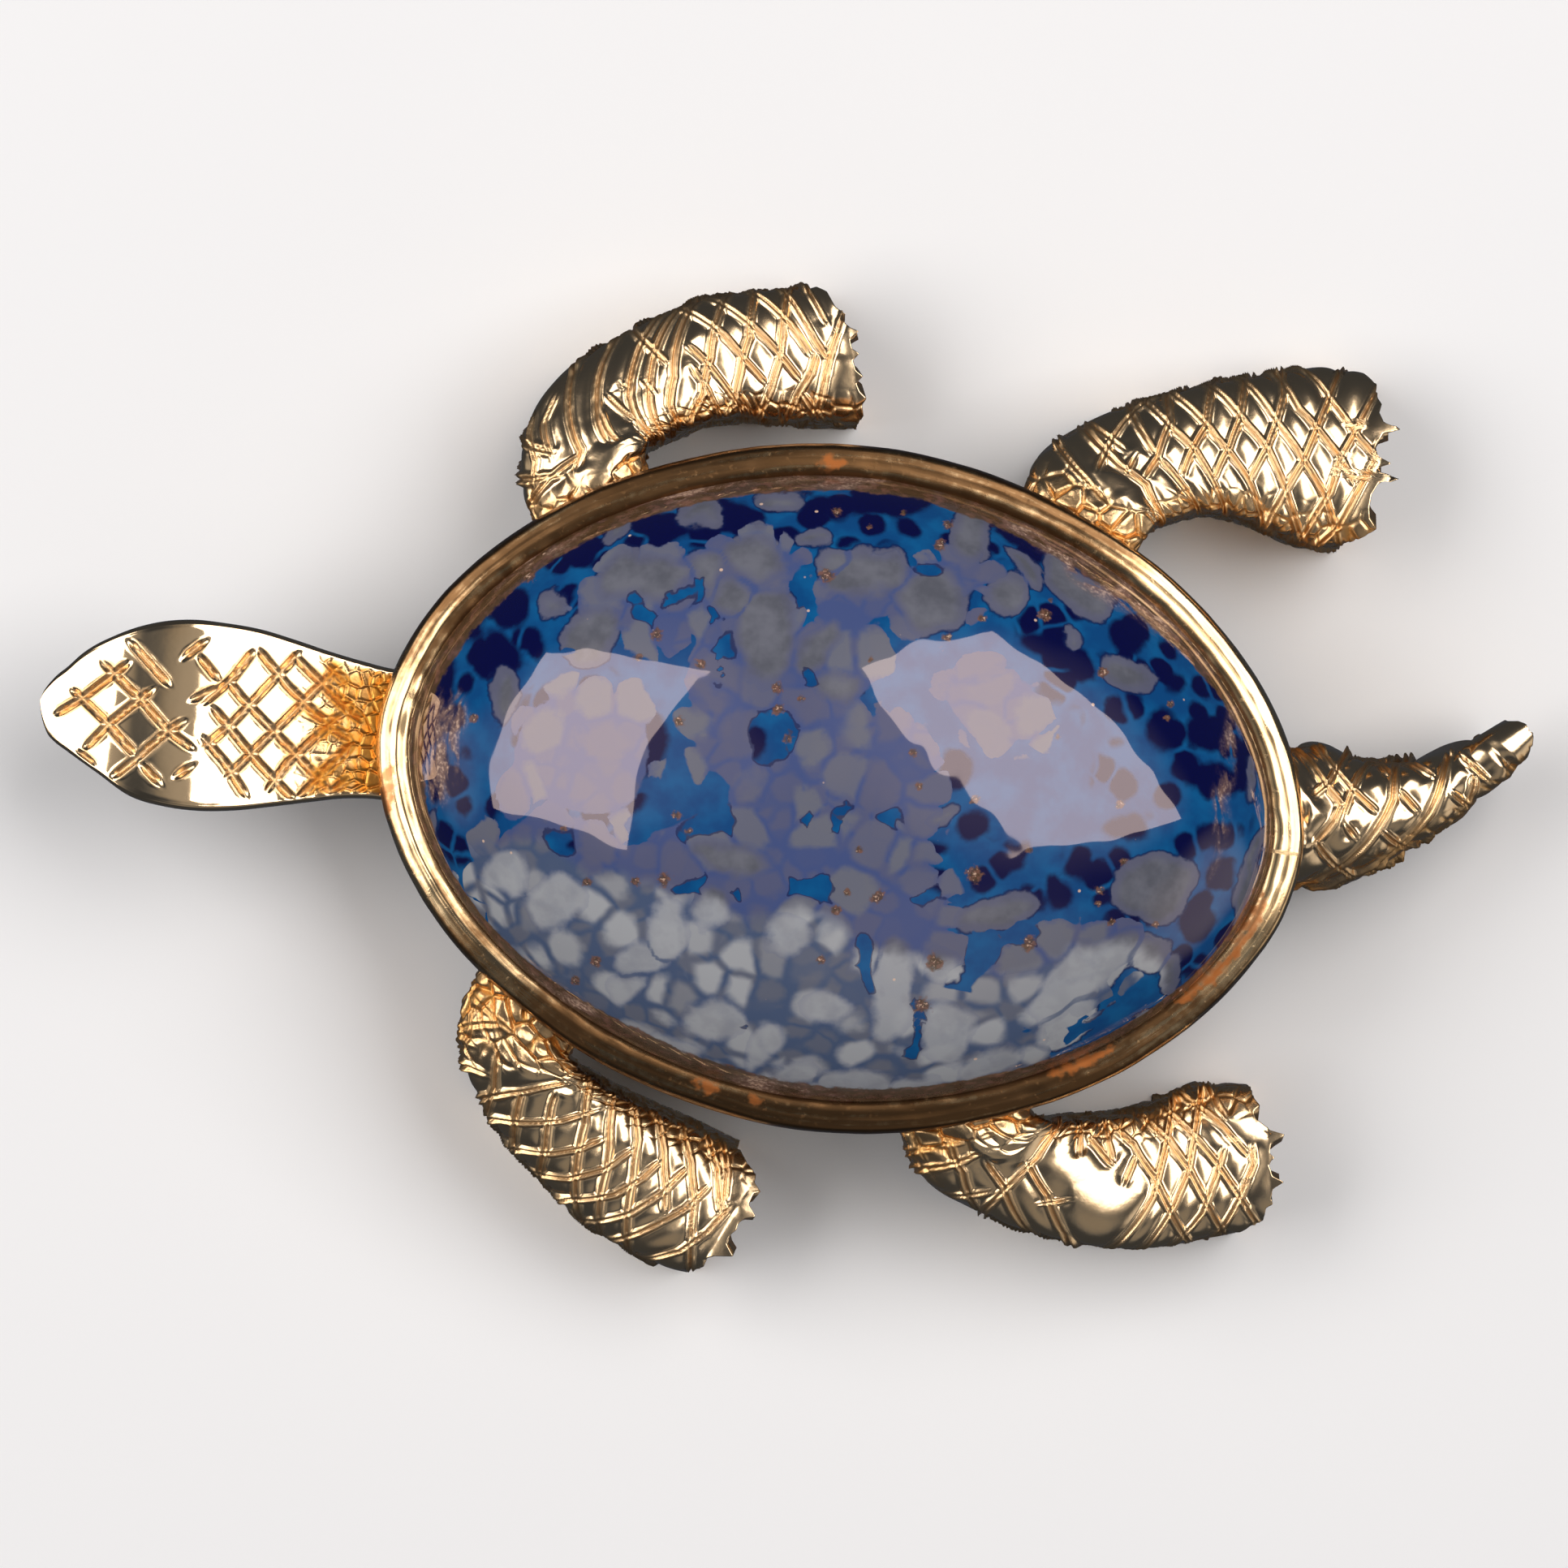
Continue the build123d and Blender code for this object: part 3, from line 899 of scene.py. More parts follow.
@dataclass(frozen=True)
class Graver:
    """How the lines are worked: a groove between two lips, with the metal puffed up between the lines."""

    half_breadth: float = 0.11
    groove: float = 0.5
    depth: float = 0.03
    lip: float = 0.11
    lip_place: float = 0.58
    lip_breadth: float = 0.52
    puff: float = 0.20
    puff_reach: float = 0.24
    chatter: float = 0.08

    def chase(self, u: Array, v: Array, lines: Iterable[tuple[Array, float, float]],
              seed: int, burr: Array | float = 1.0) -> tuple[Array, Array]:
        """Works out the metal's height where lines are chased into it.

        Args:
            u: each place's first coordinate on the unrolled sheet, in millimetres.
            v: each place's second coordinate.
            lines: each line's points on the sheet, its depth and its breadth beside the usual.
            seed: starts the chatter of the tool.
            burr: how much higher than usual the lips stand at each place.

        Returns:
            The height above the plain sheet, and how much of a line each place is, from 0 to 1.
        """
        pillow = np.ones(u.shape)
        valley, lips = np.zeros(u.shape), np.zeros(u.shape)
        chatter = 1 + self.chatter * Unevenness(seed, 0.16).at(u, v)
        for points, depth, breadth in lines:
            gap, to_end = self._gaps(u, v, points)
            fade = ease(-0.05, 0.35, to_end)
            half = self.half_breadth * breadth * (0.6 + 0.4 * fade)
            valley = np.maximum(valley, depth * fade * np.clip(1 - gap / (self.groove * half), 0, 1))
            lips = np.maximum(lips, fade * np.exp(-(((gap / half - self.lip_place) / self.lip_breadth) ** 2)))
            pillow *= 1 - fade * np.exp(-np.maximum(gap - 0.8 * half, 0) / self.puff_reach)
        height = self.puff * pillow - self.depth * valley * chatter
        height += self.lip * lips * (1 - 0.4 * valley) * chatter * burr
        return height, np.clip(np.maximum(valley, 0.75 * lips), 0, 1)

    @staticmethod
    def _gaps(u: Array, v: Array, points: Array) -> tuple[Array, Array]:
        """Measures how far each place is from a line.

        Args:
            u: each place's first coordinate on the unrolled sheet, in millimetres.
            v: each place's second coordinate.
            points: the line's points on the sheet.

        Returns:
            Each place's distance from the line, and how far its nearest point on the line is from an end.
        """
        gap, to_end = np.full(u.shape, np.inf), np.zeros(u.shape)
        steps = np.hypot(*np.diff(points, axis=0).T)
        walked = np.concatenate([[0.0], np.cumsum(steps)])
        for (u0, v0), (u1, v1), start, step in zip(points[:-1], points[1:], walked, steps):
            du, dv = u1 - u0, v1 - v0
            share = np.clip(((u - u0) * du + (v - v0) * dv) / (step * step + 1e-9), 0, 1)
            away = np.hypot(u - u0 - share * du, v - v0 - share * dv)
            along = start + share * step
            to_end = np.where(away < gap, np.minimum(along, walked[-1] - along), to_end)
            gap = np.minimum(gap, away)
        return gap, to_end


@dataclass(frozen=True)
class Section:
    """A cut across a limb: where it is from the root, which way the limb heads there, and its size."""

    along: float
    out: float
    heading: float
    width: float
    crest: float
    foot: float
    sheet: float = 1.0


@dataclass
class Limb:
    """A hollow limb: an arched sheet of gold that leaves the bezel, chased all over and sawn off."""

    name: str
    side: Side
    root: tuple[float, float]
    run: float
    reach: float
    width: float
    sections: list[Section]
    cuts: list[Cut]
    sawn: list[tuple[float, float]]
    seed: int
    sheet: float = 0.5
    crown: float = 0.42
    lean: float = 0.0
    rings: int = 280
    columns: int = 232
    slack: float = 0.2
    run_on: float = 3.6
    melted: float = 2.4
    lumpy: float = 0.11
    crumpled: float = 0.055
    wavy: float = 0.035
    burr: float = 1.5
    graver: Graver = field(default_factory=Graver)

    def stations(self) -> tuple[Array, dict[str, Array]]:
        """Lists the sections' sizes.

        Returns:
            Each section's distance along the limb, and each of its sizes by name.
        """
        sign = self.side.value
        x = np.array([self.root[0] + s.along * self.run for s in self.sections])
        y = np.array([self.root[1] + sign * s.out * self.reach for s in self.sections])
        chords = np.concatenate([[0.0], np.cumsum(np.hypot(np.diff(x), np.diff(y)))])
        sizes = {"x": x, "y": y}
        for key in ("heading", "width", "crest", "foot", "sheet"):
            sizes[key] = np.array([getattr(s, key) for s in self.sections])
        return chords, sizes

    def sizes(self, at: Array) -> dict[str, Array]:
        """Runs the sections' sizes smoothly along the limb, and straight on past its last section.

        Args:
            at: distances along the limb, in millimetres.

        Returns:
            Each size there, by name.
        """
        known, sizes = self.stations()
        held = np.clip(at, 0, known[-1])
        found = {key: run_smoothly(known, values, held) for key, values in sizes.items()}
        heading = np.radians(found["heading"])
        found["x"] = found["x"] + (at - held) * np.cos(heading)
        found["y"] = found["y"] + self.side.value * (at - held) * np.sin(heading)
        found["foot"] = np.maximum(found["foot"], 0.0)
        return found

    def arch(self, rings: int, columns: int, inward: float = 0.0,
             sawn: bool = True) -> tuple[Array, Array, Array]:
        """Bends the sheet into its arch all along the limb.

        Args:
            rings: how many cuts across make the limb.
            columns: how many points make each arch.
            inward: how much of the sheet's thickness lies outside this surface, from 0 to 1.
            sawn: whether the end has its spikes and notches.

        Returns:
            The points, each one's place across from outer 1 to inner -1, and its distance along.
        """
        length = self.stations()[0][-1]
        on_side = max(4, round(columns * 0.2))
        turn = np.linspace(0, np.pi, 2001)
        walked = np.cumsum(np.hypot(np.sin(turn), self.crown * np.cos(turn)))
        turn = np.interp(np.linspace(walked[0], walked[-1], columns - 2 * on_side), walked, turn)
        flat, climb = np.ones(on_side), np.linspace(0, 1, on_side, endpoint=False)
        across = np.concatenate([flat, np.cos(turn), -flat])[None, :]
        risen = np.concatenate([0 * flat, np.sin(turn), 0 * flat])[None, :]
        climbed = np.concatenate([climb, np.ones(len(turn)), climb[::-1]])[None, :]
        at = np.linspace(0, length, rings)[:, None]
        if sawn and self.sawn:
            places, reaches = zip(*sorted(self.sawn))
            at = at + np.interp(across, places, reaches) * ease(length - 3.0, length, at)
        at = at + 0 * across
        sizes = self.sizes(at)
        sheet = self.sheet * sizes["sheet"] * inward
        slack = self.slack * (1 - 0.6 * np.clip(at / length, 0, 1))
        half = np.maximum(sizes["width"] * self.width / 2 - sheet - slack, 0.03)
        rise = np.maximum(self.crown * (sizes["width"] * self.width / 2 - slack) - sheet, 0.02)
        spring = sizes["crest"] - sheet - rise - 0.5 * slack
        foot = np.minimum(sizes["foot"], spring - 0.05)
        height = foot + (spring - foot) * climbed + rise * risen - self.lean * across * half * climbed
        heading = np.radians(sizes["heading"])
        points = np.stack([
            sizes["x"] - np.sin(heading) * across * half,
            sizes["y"] + self.side.value * np.cos(heading) * across * half, height,
        ], axis=-1)
        return points, across + 0 * at, at

    def chased_lines(self, points: Array, normals: Array, across: Array, u: Array,
                     v: Array) -> list[tuple[Array, float, float]]:
        """Lays each cut on the unrolled sheet, and runs it on down the side where it leaves the top.

        Args:
            points: the arched sheet's points in millimetres.
            normals: the sheet's unit normals there.
            across: each point's place across the sheet, from outer 1 to inner -1.
            u: each point's first coordinate on the unrolled sheet, in millimetres.
            v: each point's second coordinate.

        Returns:
            Each line's points on the unrolled sheet, its depth and its breadth beside the usual.
        """
        top = normals[..., 2] > 0.12
        seen, su, sv, place = points[top][:, :2], u[top], v[top], across[top]
        lines = []
        for cut in self.cuts:
            places = PHOTO.to_brooch(cut.pixels)
            nearest = [int(np.argmin(((seen - p) ** 2).sum(axis=1))) for p in places]
            line = np.stack([su[nearest], sv[nearest]], axis=1)
            for end, before in ((0, 1), (-1, -2)):
                here, inner = place[nearest[end]], place[nearest[before]]
                if not -0.62 < here < 0.42 and abs(here) > abs(inner) + 0.12:
                    way = line[end] - line[before]
                    way = way / (np.hypot(*way) + 1e-9)
                    line[end] += way * (self.run_on if abs(way[1]) > 0.6 else 0.0)
            lines.append((line, cut.depth, cut.breadth))
        return lines

    def build(self, finish: bpy.types.Material) -> bpy.types.Object:
        """Makes the limb.

        Args:
            finish: the gold's material.

        Returns:
            The finished piece.
        """
        plain, _, _ = self.arch(self.rings, self.columns, sawn=False)
        steps = np.linalg.norm(np.diff(plain, axis=1), axis=-1)
        girth = np.concatenate([np.zeros((self.rings, 1)), np.cumsum(steps, axis=1)], axis=1)
        v = girth - girth[:, -1:] / 2
        points, across, u = self.arch(self.rings, self.columns)
        normals = outward(points)
        burr = 1 + self.burr * ease(0.9, 1.0, np.abs(across)) * np.clip(
            0.2 + 1.2 * Unevenness(self.seed + 6, 0.6).at(u, v), 0, 1
        )
        lines = self.chased_lines(points, normals, across, u, v)
        height, line = self.graver.chase(u, v, lines, self.seed, burr)
        melt = 1 - ease(self.melted * 0.4, self.melted, u + 0.5 * Unevenness(self.seed + 1, 0.6).at(u, v))
        lumps, creases = Facets(self.seed + 2, 0.62).at(u, v)
        lumps += 0.4 * Unevenness(self.seed + 3, 0.28).at(u, v)
        crumple = ease(0.5, 0.9, -across) * ease(1.0, 4.0, u)
        fine, folds = Facets(self.seed + 4, 0.50).at(u, v)
        wave = Unevenness(self.seed + 5, 1.0).at(u, v)
        height = height * (1 - 0.6 * melt) + self.lumpy * melt * lumps
        height = height + self.crumpled * crumple * fine + self.wavy * wave
        points = points + normals * height[..., None]
        points[..., 2] = np.maximum(points[..., 2], 0.0)
        points = OVAL.keep_out(points)
        shell = Shell()
        # The creases join the lines and the crumpled inner side joins the roots, so the gold paints them deeper
        # orange too, as shade of bounced light.
        line = np.maximum(line, np.maximum(melt * creases, crumple * folds))
        outer = shell.add(points, {"line": line, "melt": np.maximum(melt, 0.6 * crumple)})
        shell.skin(outer)
        inside, across_in, _ = self.arch(60, 48, 1.0)
        inside = OVAL.keep_out(inside)
        # Painted shade: the hollow's inside is marked as line and root, so the gold paints it deep orange, with some
        # grime.
        inner = shell.add(inside, {"line": np.full(across_in.shape, 0.6), "melt": np.ones(across_in.shape)})
        shell.skin(inner)
        for one, other in (
            (outer[:, 0], inner[:, 0]), (outer[:, -1], inner[:, -1]),
            (outer[0], inner[0]), (outer[-1], inner[-1]),
        ):
            shell.stitch(one, other)
        return shell.piece(self.name, "setting", Slot.GOLD, finish)


def outward(points: Array) -> Array:
    """Works out a grid's unit normals, pointing up on its top.

    Args:
        points: the grid's points.

    Returns:
        One normal for each point.
    """
    along = np.gradient(points, axis=0)
    across = np.gradient(points, axis=1)
    normals = np.cross(along, across)
    normals /= np.linalg.norm(normals, axis=-1, keepdims=True) + 1e-12
    highest = np.unravel_index(np.argmax(points[..., 2]), points.shape[:2])
    return normals if normals[highest][2] > 0 else -normals


@dataclass
class Head:
    """The head: a thin domed plate, chased with a lattice and polished."""

    length: float = 9.65
    width: float = 5.45
    thickness: float = 0.9
    crest: float = 5.8
    doming: float = 0.08
    roll: float = 0.09
    edge: float = 0.12
    rings: int = 270
    columns: int = 150
    nose_rings: int = 14
    nose_from: float = 0.985
    nose_run: float = 0.015
    stations: tuple[float, ...] = (
        -0.07, 0.0, 0.072, 0.176, 0.28, 0.383, 0.492, 0.588, 0.694, 0.798, 0.90, 0.94, 0.985, 1.0,
    )
    left: tuple[float, ...] = (
        0.046, 0.047, 0.048, 0.057, 0.064, 0.072, 0.083, 0.087, 0.094, 0.090, 0.110, 0.132, 0.132, 0.12,
    )
    widths: tuple[float, ...] = (
        0.69, 0.695, 0.727, 0.80, 0.884, 0.958, 0.994, 0.989, 0.917, 0.738, 0.514, 0.395, 0.27, 0.24,
    )
    crests: tuple[tuple[float, float], ...] = (
        (-0.07, 0.755), (0.03, 0.778), (0.18, 0.826), (0.33, 0.891), (0.45, 0.947), (0.54, 0.984), (0.61, 0.997),
        (0.68, 1.0), (0.74, 0.997), (0.79, 0.984), (0.85, 0.952), (0.92, 0.909), (0.98, 0.872), (1.0, 0.86),
    )
    cuts: list[Cut] = field(default_factory=list)
    graver: Graver = field(default_factory=lambda: Graver(
        half_breadth=0.13, groove=1.0, depth=0.10, lip=0.018, lip_place=1.2, lip_breadth=0.35, puff=0.012,
        puff_reach=0.06, chatter=0.3))

    def sizes(self) -> dict[str, Array]:
        """Runs the head's sizes smoothly from the neck to the nose.

        Returns:
            Each size by name, as a column with one row for each cut across.
        """
        stations = np.array(self.stations)
        nose = np.sin(np.linspace(0, np.pi / 2, self.nose_rings + 1)[1:])
        at = np.concatenate([np.linspace(stations[0], self.nose_from, self.rings - self.nose_rings),
                             self.nose_from + self.nose_run * nose])
        widths = run_smoothly(stations, self.widths, at)
        half = widths * self.width / 2
        half *= np.sqrt(np.clip(1 - ((at - 0.955) / 0.0451).clip(0) ** 2, 1e-4, 1))
        places, heights = zip(*self.crests)
        found = {
            "at": at, "half": half, "flat": half - np.minimum(self.edge, half * 0.6),
            "crest": run_smoothly(np.array(places), heights, at) * self.crest,
            "middle": -run_smoothly(stations, self.left, at) * self.width,
            "x": PHOTO.stone_x - OVAL.half_length - at * self.length, "doming": widths * self.doming,
        }
        return {name: values[:, None] for name, values in found.items()}

    def top(self, sizes: dict[str, Array]) -> tuple[Array, dict[str, Array]]:
        """Makes the top, chased and melted at the neck.

        Args:
            sizes: the head's sizes.

        Returns:
            The top's points, and its marks by name.
        """
        share = np.linspace(1, -1, self.columns)[None, :]
        flat = sizes["flat"] * share
        level = sizes["crest"] - self.roll * sizes["flat"] * share - sizes["doming"] * (flat / sizes["half"]) ** 2
        top = np.stack([np.broadcast_to(sizes["x"], flat.shape), sizes["middle"] + flat, level], axis=-1)
        x, y = top[..., 0], top[..., 1]
        lines = [(PHOTO.to_brooch(c.pixels), c.depth, c.breadth) for c in self.cuts]
        height, valley = self.graver.chase(x, y, lines, 41)
        melt = ease(0.30, 0.02, sizes["at"] + 0.06 * Unevenness(42, 0.5).at(x, y))
        lumps, _ = Facets(43, 0.34, 0.2).at(x, y)
        wave = Unevenness(44, 1.6).at(x, y)
        rim = ease(0, 0.06, 1 - np.abs(share))
        top[..., 2] += rim * (height * (1 - 0.4 * melt) + 0.055 * melt * lumps) + 0.014 * wave
        # The lines and the melted neck are painted deeper orange by the gold, as shade of bounced light.
        return top, {"line": valley * rim, "melt": melt * rim}

    def rounded_edge(self, sizes: dict[str, Array], top: Array, sign: int) -> Array:
        """Rounds one long edge from the top down to the underside.

        Args:
            sizes: the head's sizes.
            top: the top's points.
            sign: 1 for the edge on the turtle's right, -1 for the other.

        Returns:
            The edge's points, from the top down.
        """
        turns = np.linspace(0, np.pi, 9)[1:-1]
        y = sizes["middle"] + sign * (sizes["flat"] + (sizes["half"] - sizes["flat"]) * np.sin(turns)[None, :])
        start = top[:, -1 if sign < 0 else 0, 2][:, None]
        drop = self.thickness * (1 - np.cos(turns)) / 2
        return np.stack([np.broadcast_to(sizes["x"], y.shape), y, start - drop], axis=-1)

    def underside(self, sizes: dict[str, Array]) -> Array:
        """Makes the plain underside.

        Args:
            sizes: the head's sizes.

        Returns:
            Its points, from the turtle's left to its right.
        """
        share = np.linspace(-1, 1, 40)[None, :]
        y = sizes["middle"] + sizes["flat"] * share
        level = sizes["crest"] - self.roll * sizes["flat"] * share - sizes["doming"] * share**2 - self.thickness
        return np.stack([np.broadcast_to(sizes["x"], y.shape), y, level], axis=-1)

    def build(self, finish: bpy.types.Material) -> bpy.types.Object:
        """Makes the head.

        Args:
            finish: the gold's material.

        Returns:
            The finished piece.
        """
        sizes = self.sizes()
        top, marks = self.top(sizes)
        left, right = (self.rounded_edge(sizes, top, sign) for sign in (-1, 1))
        loop = OVAL.keep_out(np.concatenate([top, left, self.underside(sizes), right[:, ::-1]], axis=1))
        spare = np.zeros((self.rings, loop.shape[1] - self.columns))
        shell = Shell()
        grid = shell.add(loop, {name: np.concatenate([mark, spare], axis=1) for name, mark in marks.items()})
        shell.skin(grid, closed=True)
        for ring in (0, -1):
            shell.close(grid[ring], loop[ring].mean(axis=0))
        return shell.piece("head", "setting", Slot.GOLD, finish)


@dataclass(frozen=True)
class Blot:
    """An oval patch in the glass: its middle's pixel, its half length and half width in pixels, and its turn."""

    right: float
    down: float
    half_length: float
    half_width: float
    turn_deg: float = 0.0

    def gap(self, pixels: Array) -> Array:
        """Measures how far each pixel is outside the patch.

        Args:
            pixels: one (right, down) a row.

        Returns:
            The distances in millimetres, less than 0 inside.
        """
        turn = math.radians(self.turn_deg)
        dx, dy = pixels[:, 0] - self.right, pixels[:, 1] - self.down
        a = (dx * math.cos(turn) - dy * math.sin(turn)) / self.half_length
        b = (dx * math.sin(turn) + dy * math.cos(turn)) / self.half_width
        size = np.hypot(a, b) + 1e-9
        slope = np.hypot(a / self.half_length, b / self.half_width) + 1e-9
        return (size - 1) * size / slope / PHOTO.px_per_mm


@dataclass
class Bezel:
    """The bezel cup: a wall whose rim is burnished in over the stone."""

    steps: int = 520
    profile: tuple[tuple[float, float], ...] = (
        (0.70, 3.00), (0.35, 3.00), (0.06, 3.02), (0.00, 3.10), (0.00, 3.60), (0.00, 4.20), (0.00, 4.80),
        (0.01, 5.30), (0.02, 5.70), (0.05, 5.95), (0.09, 6.10), (0.14, 6.19), (0.20, 6.235), (0.28, 6.262),
        (0.36, 6.286), (0.42, 6.30), (0.50, 6.305), (0.58, 6.315), (0.66, 6.33), (0.74, 6.335), (0.82, 6.325),
        (0.90, 6.30), (0.98, 6.265), (1.06, 6.21), (1.10, 6.15), (1.08, 6.05), (0.96, 5.95), (0.85, 5.75),
        (0.78, 5.30), (0.76, 4.60), (0.76, 3.95),
    )
    # How dark the painted shade and patina are at each angle round the bezel, in degrees: least at the left and
    # right, where it faces the softboxes.
    tarnish_and_shade: tuple[tuple[float, float], ...] = (
        (0, 0.05), (35, 0.10), (50, 0.30), (62, 0.90), (95, 1.0), (140, 1.0), (156, 0.85), (167, 0.65), (178, 0.15),
        (190, 0.12), (202, 0.45), (235, 0.80), (265, 1.0), (300, 1.0), (330, 0.80), (350, 0.25), (360, 0.05),
    )
    stains: tuple[Blot, ...] = (
        Blot(1024, 573, 17, 10, 5), Blot(480, 975, 11, 36, -6), Blot(872, 1336, 18, 10, -20),
        Blot(1534, 1140, 44, 11, 60), Blot(1480, 1206, 44, 9, 40), Blot(1330, 1306, 46, 8, 22), Blot(930, 1352, 9, 7),
    )

    def build(self, finish: bpy.types.Material) -> bpy.types.Object:
        """Makes the bezel, a little uneven as a burnished rim is.

        Args:
            finish: the bezel's material.

        Returns:
            The finished piece.
        """
        angle = np.linspace(0, 2 * np.pi, self.steps, endpoint=False)
        stations = np.arange(len(self.profile), dtype=float)
        fine = np.linspace(0, stations[-1], 84)
        inset = run_smoothly(stations, [p[0] for p in self.profile], fine)
        height = run_smoothly(stations, [p[1] for p in self.profile], fine)
        around = angle[:, None] * OVAL.unrolled
        loose = np.cos(angle)[:, None] * 20, np.sin(angle)[:, None] * 20
        sway = 0.035 * Unevenness(51, 4.0).at(loose[0] + 100, loose[1] + 100)
        ripple = 0.012 * Unevenness(52, 0.5).at(around, fine[None, :] * 0.12)
        upper = ease(5.0, 6.2, height)[None, :]
        doubled = 0.05 * np.clip(np.cos(angle - math.radians(185)), 0, 1)[:, None] ** 1.5
        doubled = doubled * np.exp(-(((inset - 0.60) / 0.10) ** 2))[None, :] * upper
        insets = inset[None, :] + upper * (sway + ripple)
        plan = OVAL.reach(np.broadcast_to(angle[:, None], insets.shape), insets)
        tops = height[None, :] + upper * (ripple - sway * 0.6) + doubled
        points = np.concatenate([plan, tops[..., None]], axis=-1)
        pixels = PHOTO.to_pixels(points.reshape(-1, 3)[:, :2]).reshape(*insets.shape, 2)
        stain = np.zeros(insets.shape)
        for blot in self.stains:
            stain = np.maximum(stain, 1 - ease(-0.2, 0.25, blot.gap(pixels.reshape(-1, 2)).reshape(stain.shape)))
        shell = Shell()
        grid = shell.add(points, {
            "around": np.broadcast_to(around, insets.shape),
            "across": np.broadcast_to(inset[None, :] + height[None, :] * 0.5, insets.shape),
            "stain": stain,
            # The rim's inner lip, which its material paints dark brown as shade against the stone.
            "lip": ease(0.92, 1.04, insets) * upper,
            # The painted shade and patina by angle, read from the table above.
            "tarnish_and_shade": np.broadcast_to(np.interp(np.degrees(angle), *zip(*self.tarnish_and_shade))[:, None], insets.shape),
        })
        grid = np.concatenate([grid, grid[:1]])
        shell.skin(grid, closed=True)
        return shell.piece("bezel", "setting", Slot.GOLD, finish)


@dataclass
class Stone:
    """The glass cabochon, with the places of its chips, spots and flecks."""

    length: float = 25.0
    base: float = 4.0
    girdle: float = 5.2
    rise: float = 6.0
    cells: int = 250
    hidden: float = 0.25
    # How broad the painted reflection of the bezel's gold along the edge is at each angle round the stone, in degrees
    # and millimetres.
    bands: tuple[tuple[float, float], ...] = (
        (0, 0.15), (20, 0.35), (45, 0.85), (62, 0.80), (85, 0.55), (110, 0.65), (140, 0.60), (165, 0.75),
        (185, 0.60), (205, 0.30), (225, 0.35), (245, 0.70), (270, 0.60), (300, 0.45), (330, 0.25), (360, 0.15),
    )

    def build(self, finish: bpy.types.Material) -> bpy.types.Object:
        """Makes the stone and marks its mottling, and the band along its edge where a reflection of the bezel's gold
        is painted.

        Args:
            finish: the glass's material.

        Returns:
            The finished piece.
        """
        inset = OVAL.half_length - self.length / 2
        side = np.linspace(-1, 1, self.cells)
        u, v = np.meshgrid(side, side, indexing="ij")
        x, y = u * np.sqrt(1 - v * v / 2), v * np.sqrt(1 - u * u / 2)
        radius, angle = np.hypot(x, y), np.arctan2(y, x)
        share = np.minimum(1.25 * radius - 0.25 * radius**3, 1.0)
        edge = OVAL.reach(angle, inset)
        plan = np.stack([(edge[..., 0] - OVAL.middle_x) * share + OVAL.middle_x, edge[..., 1] * share], axis=-1)
        height = self.girdle + self.rise * np.sqrt(np.clip(1 - share**2, 0, 1))
        points = np.concatenate([plan, height[..., None]], axis=-1)
        shell = Shell()
        pixels = PHOTO.to_pixels(points.reshape(-1, 3)[:, :2])
        marks = {k: m.reshape(height.shape) for k, m in MOTTLING.marks(pixels).items()}
        band = np.interp(np.degrees(angle) % 360, *zip(*self.bands))
        from_edge = (1 - share) * np.hypot(edge[..., 0] - OVAL.middle_x, edge[..., 1])
        # The painted reflection of the bezel's gold: full under the rim, gone at the band's breadth.
        marks["edge"] = 1 - ease(self.hidden, 1.0, (from_edge - self.hidden) / band)
        marks["around"] = (angle + 0.4 * np.pi) % (2 * np.pi) * OVAL.unrolled
        marks["inward"] = from_edge
        dome = shell.add(points, marks)
        shell.skin(dome)
        rim = np.concatenate([dome[0, :-1], dome[:-1, -1], dome[-1, :0:-1], dome[:0:-1, 0]])
        low = points.reshape(-1, 3)[rim]
        low[:, 2] = self.base
        wall = shell.add(low)
        shell.skin(np.stack([rim, wall]), closed=True)
        shell.close(wall, [OVAL.middle_x, 0, self.base])
        return shell.piece("stone_dome", "stone", Slot.GLASS, finish)


@dataclass(frozen=True)
class Mottling:
    """Where the chips, spots, flecks, the paler lower part and the pink-gold edge streaks, partly foil and partly
    painted reflection, lie in the glass, by the photograph's pixels.
    """

    chips: tuple[Blot, ...]
    islands: tuple[Blot, ...]
    navy: tuple[Blot, ...]
    spotted: tuple[Blot, ...]
    crowd: tuple[Blot, ...]
    milk: tuple[Blot, ...]
    flecks: tuple[tuple[float, float, float], ...]
    foil: tuple[Blot, ...]

    def marks(self, pixels: Array) -> dict[str, Array]:
        """Works out the marks at some pixels.

        Args:
            pixels: one (right, down) a row.

        Returns:
            Each mark's number at each pixel, by name.
        """
        drift = [
            9 * Unevenness(seed, 55).at(pixels[:, 0], pixels[:, 1])
            + 6 * Unevenness(seed + 1, 24).at(pixels[:, 0], pixels[:, 1])
            for seed in (61, 63)
        ]
        bent = pixels + np.stack(drift, axis=1)
        found = {}
        for name in ("chips", "islands", "navy"):
            gaps = np.sort([blot.gap(bent) for blot in getattr(self, name)], axis=0)
            found[name] = np.clip(gaps[0], -1, 1)
            if name == "chips":
                found["seams"] = (1 - ease(0.03, 0.26, gaps[1] - gaps[0])) * (gaps[1] < 0.1)
        for name, soft in (("spotted", 0.8), ("crowd", 0.8), ("milk", 0.8), ("foil", 0.25)):
            gaps = [blot.gap(bent) for blot in getattr(self, name)]
            found[name] = 1 - ease(-soft, soft, np.min(gaps, axis=0))
        flecks = np.zeros(len(pixels))
        for right, down, size in self.flecks:
            gap = np.hypot(pixels[:, 0] - right, pixels[:, 1] - down)
            flecks = np.maximum(flecks, np.exp(-((gap / (size * 0.8)) ** 2)))
        found["flecks"] = flecks
        return found


